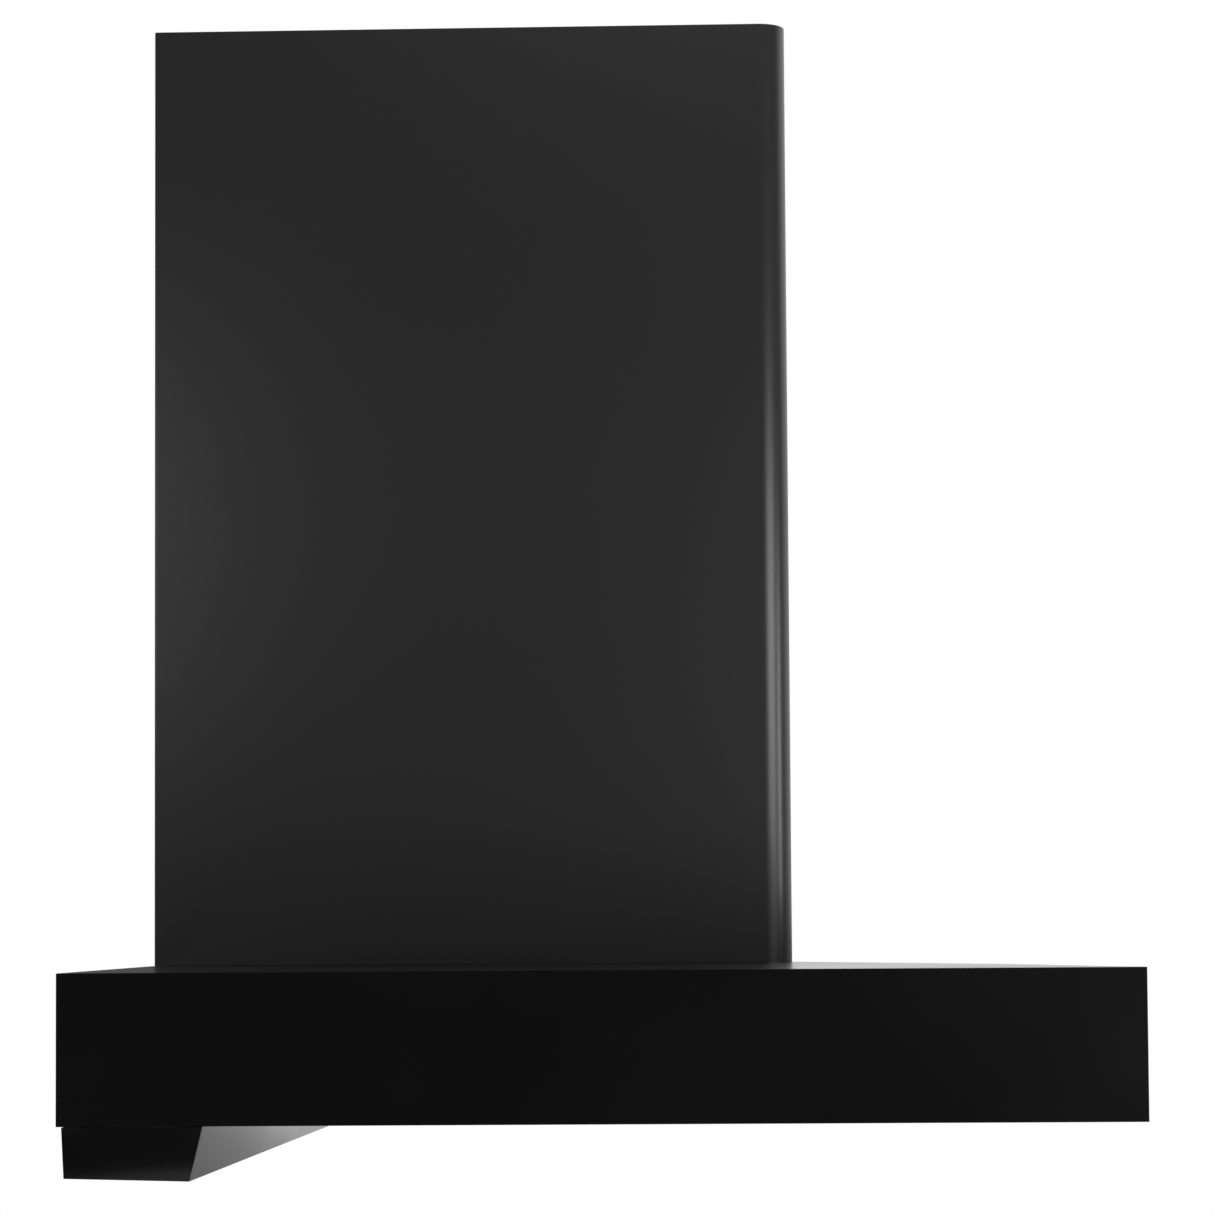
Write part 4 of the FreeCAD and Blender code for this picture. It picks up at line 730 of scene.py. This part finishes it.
# ---- electrics ---------------------------------------------------------------------------------
# A moulded junction box with a ribbed cable gland in its lid, a white run capacitor with two tabs, and
# the lamps' driver in a folded case.
softened("junction_case", "junction_box", "hood", "grey_plastic", moulded, 0.0006)
softened("junction_cover", "junction_box_lid", "hood", "grey_plastic", moulded, 0.0005)
gland_low, gland_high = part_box("cable_gland")
gx, gy = (gland_low.x + gland_high.x) / 2, (gland_low.y + gland_high.y) / 2
seat = gland_low.z + 0.006
BORE_R, GLAND_RIBS = 0.004, 20
gland = lathed("gland_body", [(BORE_R, -0.006), (0.007, -0.006), (0.007, 0), (0.009, 0), (0.009, 0.005),
                              (0.0076, 0.0062), (0.0076, 0.0145), (0.0066, 0.018), (BORE_R, 0.018)],
               "Z", (gx, gy, seat), black, 0.0005)
rib = prism("rib", soft_corners([(0.0072, -0.0004), (0.0084, -0.0004), (0.0084, 0.0004), (0.0072, 0.0004)],
                                0.0002), "Z", 0.0065, 0.014, black)
ribs = repeated("gland_ribs", rib, black, GLAND_RIBS, (gx, gy, seat), turn=(0, 0, 2 * math.pi / GLAND_RIBS))
stand_in(joined("lead_gland", [gland, ribs]), "hood", "black_plastic", "cable_gland")

shell = Finish("capacitor_case", roughness=0.35, ior=1.5)
stain = shell.noise(40.0, 5.0)
shell.feed("Base Color", shell.tint(stain, (0.74, 0.73, 0.69), (0.82, 0.81, 0.78)))
shell.feed("Roughness", shell.between(stain, 0.3, 0.42))
cap_low, cap_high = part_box("capacitor")
cx, cy = (cap_low.x + cap_high.x) / 2, (cap_low.y + cap_high.y) / 2
CAN, TABS = cap_high.x - cx, 0.008
lid_z = cap_high.z - TABS
case = lathed("case", [(0, cap_low.z), (CAN, cap_low.z), (CAN, lid_z), (CAN - 0.0015, lid_z),
                       (CAN - 0.002, lid_z - 0.0012), (0, lid_z - 0.0012)], "Z", (cx, cy, 0), shell, 0.0008)
stand_in(settle(case), "hood", "capacitor_shell", "capacitor")
tab = prism("tab", soft_corners([(-0.003, -0.0004), (0.003, -0.0004), (0.003, 0.0004), (-0.003, 0.0004)],
                                0.0002), "Z", -0.0014, TABS - 0.0002, plated)
tabs = repeated("capacitor_tabs", tab, plated, 2, (cx - 0.007, cy, lid_z), step=(0.014, 0, 0))
stand_in(tabs, "hood", "steel_pins")
softened("driver_case", "lamp_driver", "hood", "galvanised", zinc, 0.0006)

# ---- underside: panel, filters and latches -----------------------------------------------------
# A satin black panel closes the canopy from below.  Two stainless filters hang in it on pins: frames of
# folded sheet, two layers of overlapping channels, and a moulded latch with a ribbed slider.
satin = Finish("satin_black", roughness=0.38, ior=1.45)
veil = satin.noise(700.0, 3.0)
satin.feed("Base Color", satin.tint(satin.noise(7.0, 4.0), grey(0.01), grey(0.017)))
satin.feed("Roughness", satin.between(veil, 0.32, 0.46))
satin.bump(veil, 0.00002, 0.4)
bpy.data.objects["underside_panel"].material_slots[0].material = satin.material

brushed = Finish("brushed_steel", roughness=0.3, metallic=1.0)
lines = brushed.noise(1.0, 4.0, (1400, 12, 1400))
brushed.feed("Base Color", brushed.tint(lines, (0.47, 0.47, 0.46), (0.64, 0.64, 0.63)))
brushed.feed("Roughness", brushed.between(lines, 0.2, 0.4))
brushed.bump(lines, 0.00001, 0.3)
SLAT_WIDE, SLAT_TALL, SLAT_SKIN = 0.026, 0.005, 0.0008
w, t = SLAT_WIDE / 2, SLAT_SKIN
channel = [(-w, 0), (w, 0), (w, SLAT_TALL), (w - t, SLAT_TALL), (w - t, t), (t - w, t), (t - w, SLAT_TALL),
           (-w, SLAT_TALL)]
for side in ("left", "right"):
    body = f"filter_{side}"
    softened(f"frame_{side}", f"filter_frame_{side}", body, "stainless", brushed, 0.0003)
    slats = islands(f"filter_baffles_{side}")
    layers = []
    for upper in (False, True):
        layer = [pair for pair in slats if (pair[0].z > min(s[0].z for s in slats) + 0.001) == upper]
        first, pitch = layer[0], layer[1][0].x - layer[0][0].x
        outline = [(y, x) for x, y in soft_corners(channel, 0.001)]
        slat = prism("slat", outline, "Y", 0, first[1].y - first[0].y, brushed)
        centre = ((first[0].x + first[1].x) / 2, first[0].y, first[1].z if upper else first[0].z)
        tilt = (0, math.pi if upper else 0, 0)
        layers.append(repeated("slats", slat, brushed, len(layer), centre, step=(pitch, 0, 0), tilt=tilt))
    stand_in(joined(f"channels_{side}", layers), body, "stainless", f"filter_baffles_{side}")
    softened(f"latch_body_{side}", f"latch_case_{side}", body, "black_plastic", black, 0.0005)
    softened(f"latch_grip_{side}", f"latch_slider_{side}", f"latch_{side}", "black_plastic", black, 0.0005)
    softened(f"pin_plate_{side}", f"filter_hinge_{side}", "hood", "galvanised", zinc)
softened("pin_plate_centre", "filter_hinge_centre", "hood", "galvanised", zinc)

# ---- lamps -------------------------------------------------------------------------------------
# Two round lamps in the underside: a satin nickel ring, a frosted lens and a small board of chips.
nickel = Finish("satin_nickel", roughness=0.25, metallic=1.0)
turning = nickel.noise(500.0, 3.0)
nickel.feed("Base Color", nickel.tint(turning, (0.62, 0.61, 0.59), (0.72, 0.71, 0.69)))
nickel.feed("Roughness", nickel.between(turning, 0.2, 0.32))
frost = Finish("frosted_lens", roughness=0.4, ior=1.45, transmission_weight=0.6)
milk = frost.noise(900.0, 2.0)
frost.feed("Base Color", frost.tint(milk, grey(0.86), grey(0.93)))
frost.bump(milk, 0.00003, 0.5)
chip = Finish("lamp_chips", roughness=0.4)
chip.feed("Base Color", chip.tint(chip.noise(300.0), (0.85, 0.75, 0.35), (0.9, 0.82, 0.45)))
LENS_UP, LENS_THICK, ROOF, CAN_SKIN, CAN_PLAY, EYE_IN = 0.0012, 0.003, 0.0015, 0.0016, 0.0018, 0.0038
CHIP_FROM, CHIP_TO, CHIP_HALF, CHIPS = 0.010, 0.0128, 0.0014, 9
for side in ("left", "right"):
    ring_low, ring_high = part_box(f"lamp_bezel_{side}")
    lens_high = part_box(f"lamp_lens_{side}")[1]
    centre = (ring_low + ring_high) / 2
    rim, tall, glass = ring_high.x - centre.x, ring_high.z - ring_low.z, lens_high.x - centre.x
    can, eye = glass + CAN_PLAY, glass - EYE_IN
    spot = (centre.x, centre.y, ring_low.z)
    bezel = lathed(f"lamp_ring_{side}", [
        (eye, 0.0004), (eye + 0.002, 0), (rim - 0.0006, 0.0002), (rim, SKIN), (can, SKIN), (can, tall),
        (0, tall), (0, tall - ROOF), (can - CAN_SKIN, tall - ROOF), (can - CAN_SKIN, LENS_UP),
        (eye, LENS_UP)],
        "Z", spot, nickel, 0.0003)
    stand_in(settle(bezel), "hood", "lamp_bezel", f"lamp_bezel_{side}")
    lens = lathed(f"lamp_glass_{side}", [(0, LENS_UP), (glass, LENS_UP), (glass, LENS_UP + LENS_THICK),
                                         (0, LENS_UP + LENS_THICK)], "Z", spot, frost, 0.0004)
    stand_in(settle(lens), "hood", "lamp_glass", f"lamp_lens_{side}")
    square = prism("chip", soft_corners([(CHIP_FROM, -CHIP_HALF), (CHIP_TO, -CHIP_HALF),
                                         (CHIP_TO, CHIP_HALF), (CHIP_FROM, CHIP_HALF)], 0.0003),
                   "Z", -0.001, 0, chip)
    chips = repeated(f"lamp_chips_{side}", square, chip, CHIPS, (centre.x, centre.y, ring_high.z - ROOF),
                     turn=(0, 0, 2 * math.pi / CHIPS))
    stand_in(chips, "hood", "lamp_glass")

# ---- controls ----------------------------------------------------------------------------------
# A gloss black strip with five round metal buttons, the housing behind it, and a small green board.
gloss = Finish("gloss_strip", roughness=0.12, ior=1.49)
smear = gloss.noise(30.0, 5.0)
gloss.feed("Base Color", gloss.tint(smear, grey(0.004), grey(0.007)))
gloss.feed("Roughness", gloss.between(smear, 0.08, 0.18))
softened("control_strip", "control_bezel", "hood", "bezel_black", gloss, 0.00025)
softened("control_case", "control_housing", "hood", "black_plastic", black, 0.0003)
mask = Finish("green_board", roughness=0.3, ior=1.5)
tracks = mask.node("ShaderNodeTexBrick", values={
    "Vector": mask.place((1, 1, 1)), "Scale": 260.0, "Mortar Size": 0.06, "Color1": (0.012, 0.1, 0.035, 1),
    "Color2": (0.015, 0.13, 0.045, 1), "Mortar": (0.05, 0.26, 0.1, 1)}, out="Color")
mask.feed("Base Color", tracks)
mask.feed("Roughness", mask.between(mask.noise(200.0), 0.22, 0.4))
bpy.data.objects["control_board"].material_slots[0].material = mask.material

button_metal = Finish("button_metal", roughness=0.28, metallic=1.0)
rub = button_metal.noise(800.0, 3.0)
button_metal.feed("Base Color", button_metal.tint(rub, grey(0.6), grey(0.72)))
button_metal.feed("Roughness", button_metal.between(rub, 0.2, 0.34))
for name in ("light", "off", "low", "medium", "high"):
    low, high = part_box(f"button_{name}")
    centre = (low + high) / 2
    wide, face = high.x - centre.x, low.y
    collar = front + 0.006
    cap = wide - 0.001
    button = lathed(f"push_{name}", [
        (0, high.y), (0.003, high.y), (0.003, collar + 0.001), (wide, collar + 0.001), (wide, collar),
        (cap, collar), (cap, face + 0.0008), (cap - 0.0006, face), (cap - 0.0014, face),
        (cap - 0.0018, face + 0.0004), (cap - 0.0022, face + 0.0001), (cap * 0.4, face + 0.0005),
        (0, face + 0.0006)], "Y", (centre.x, 0, centre.z), button_metal, 0.0003)
    stand_in(settle(button), f"button_{name}", "button_metal", f"button_{name}")
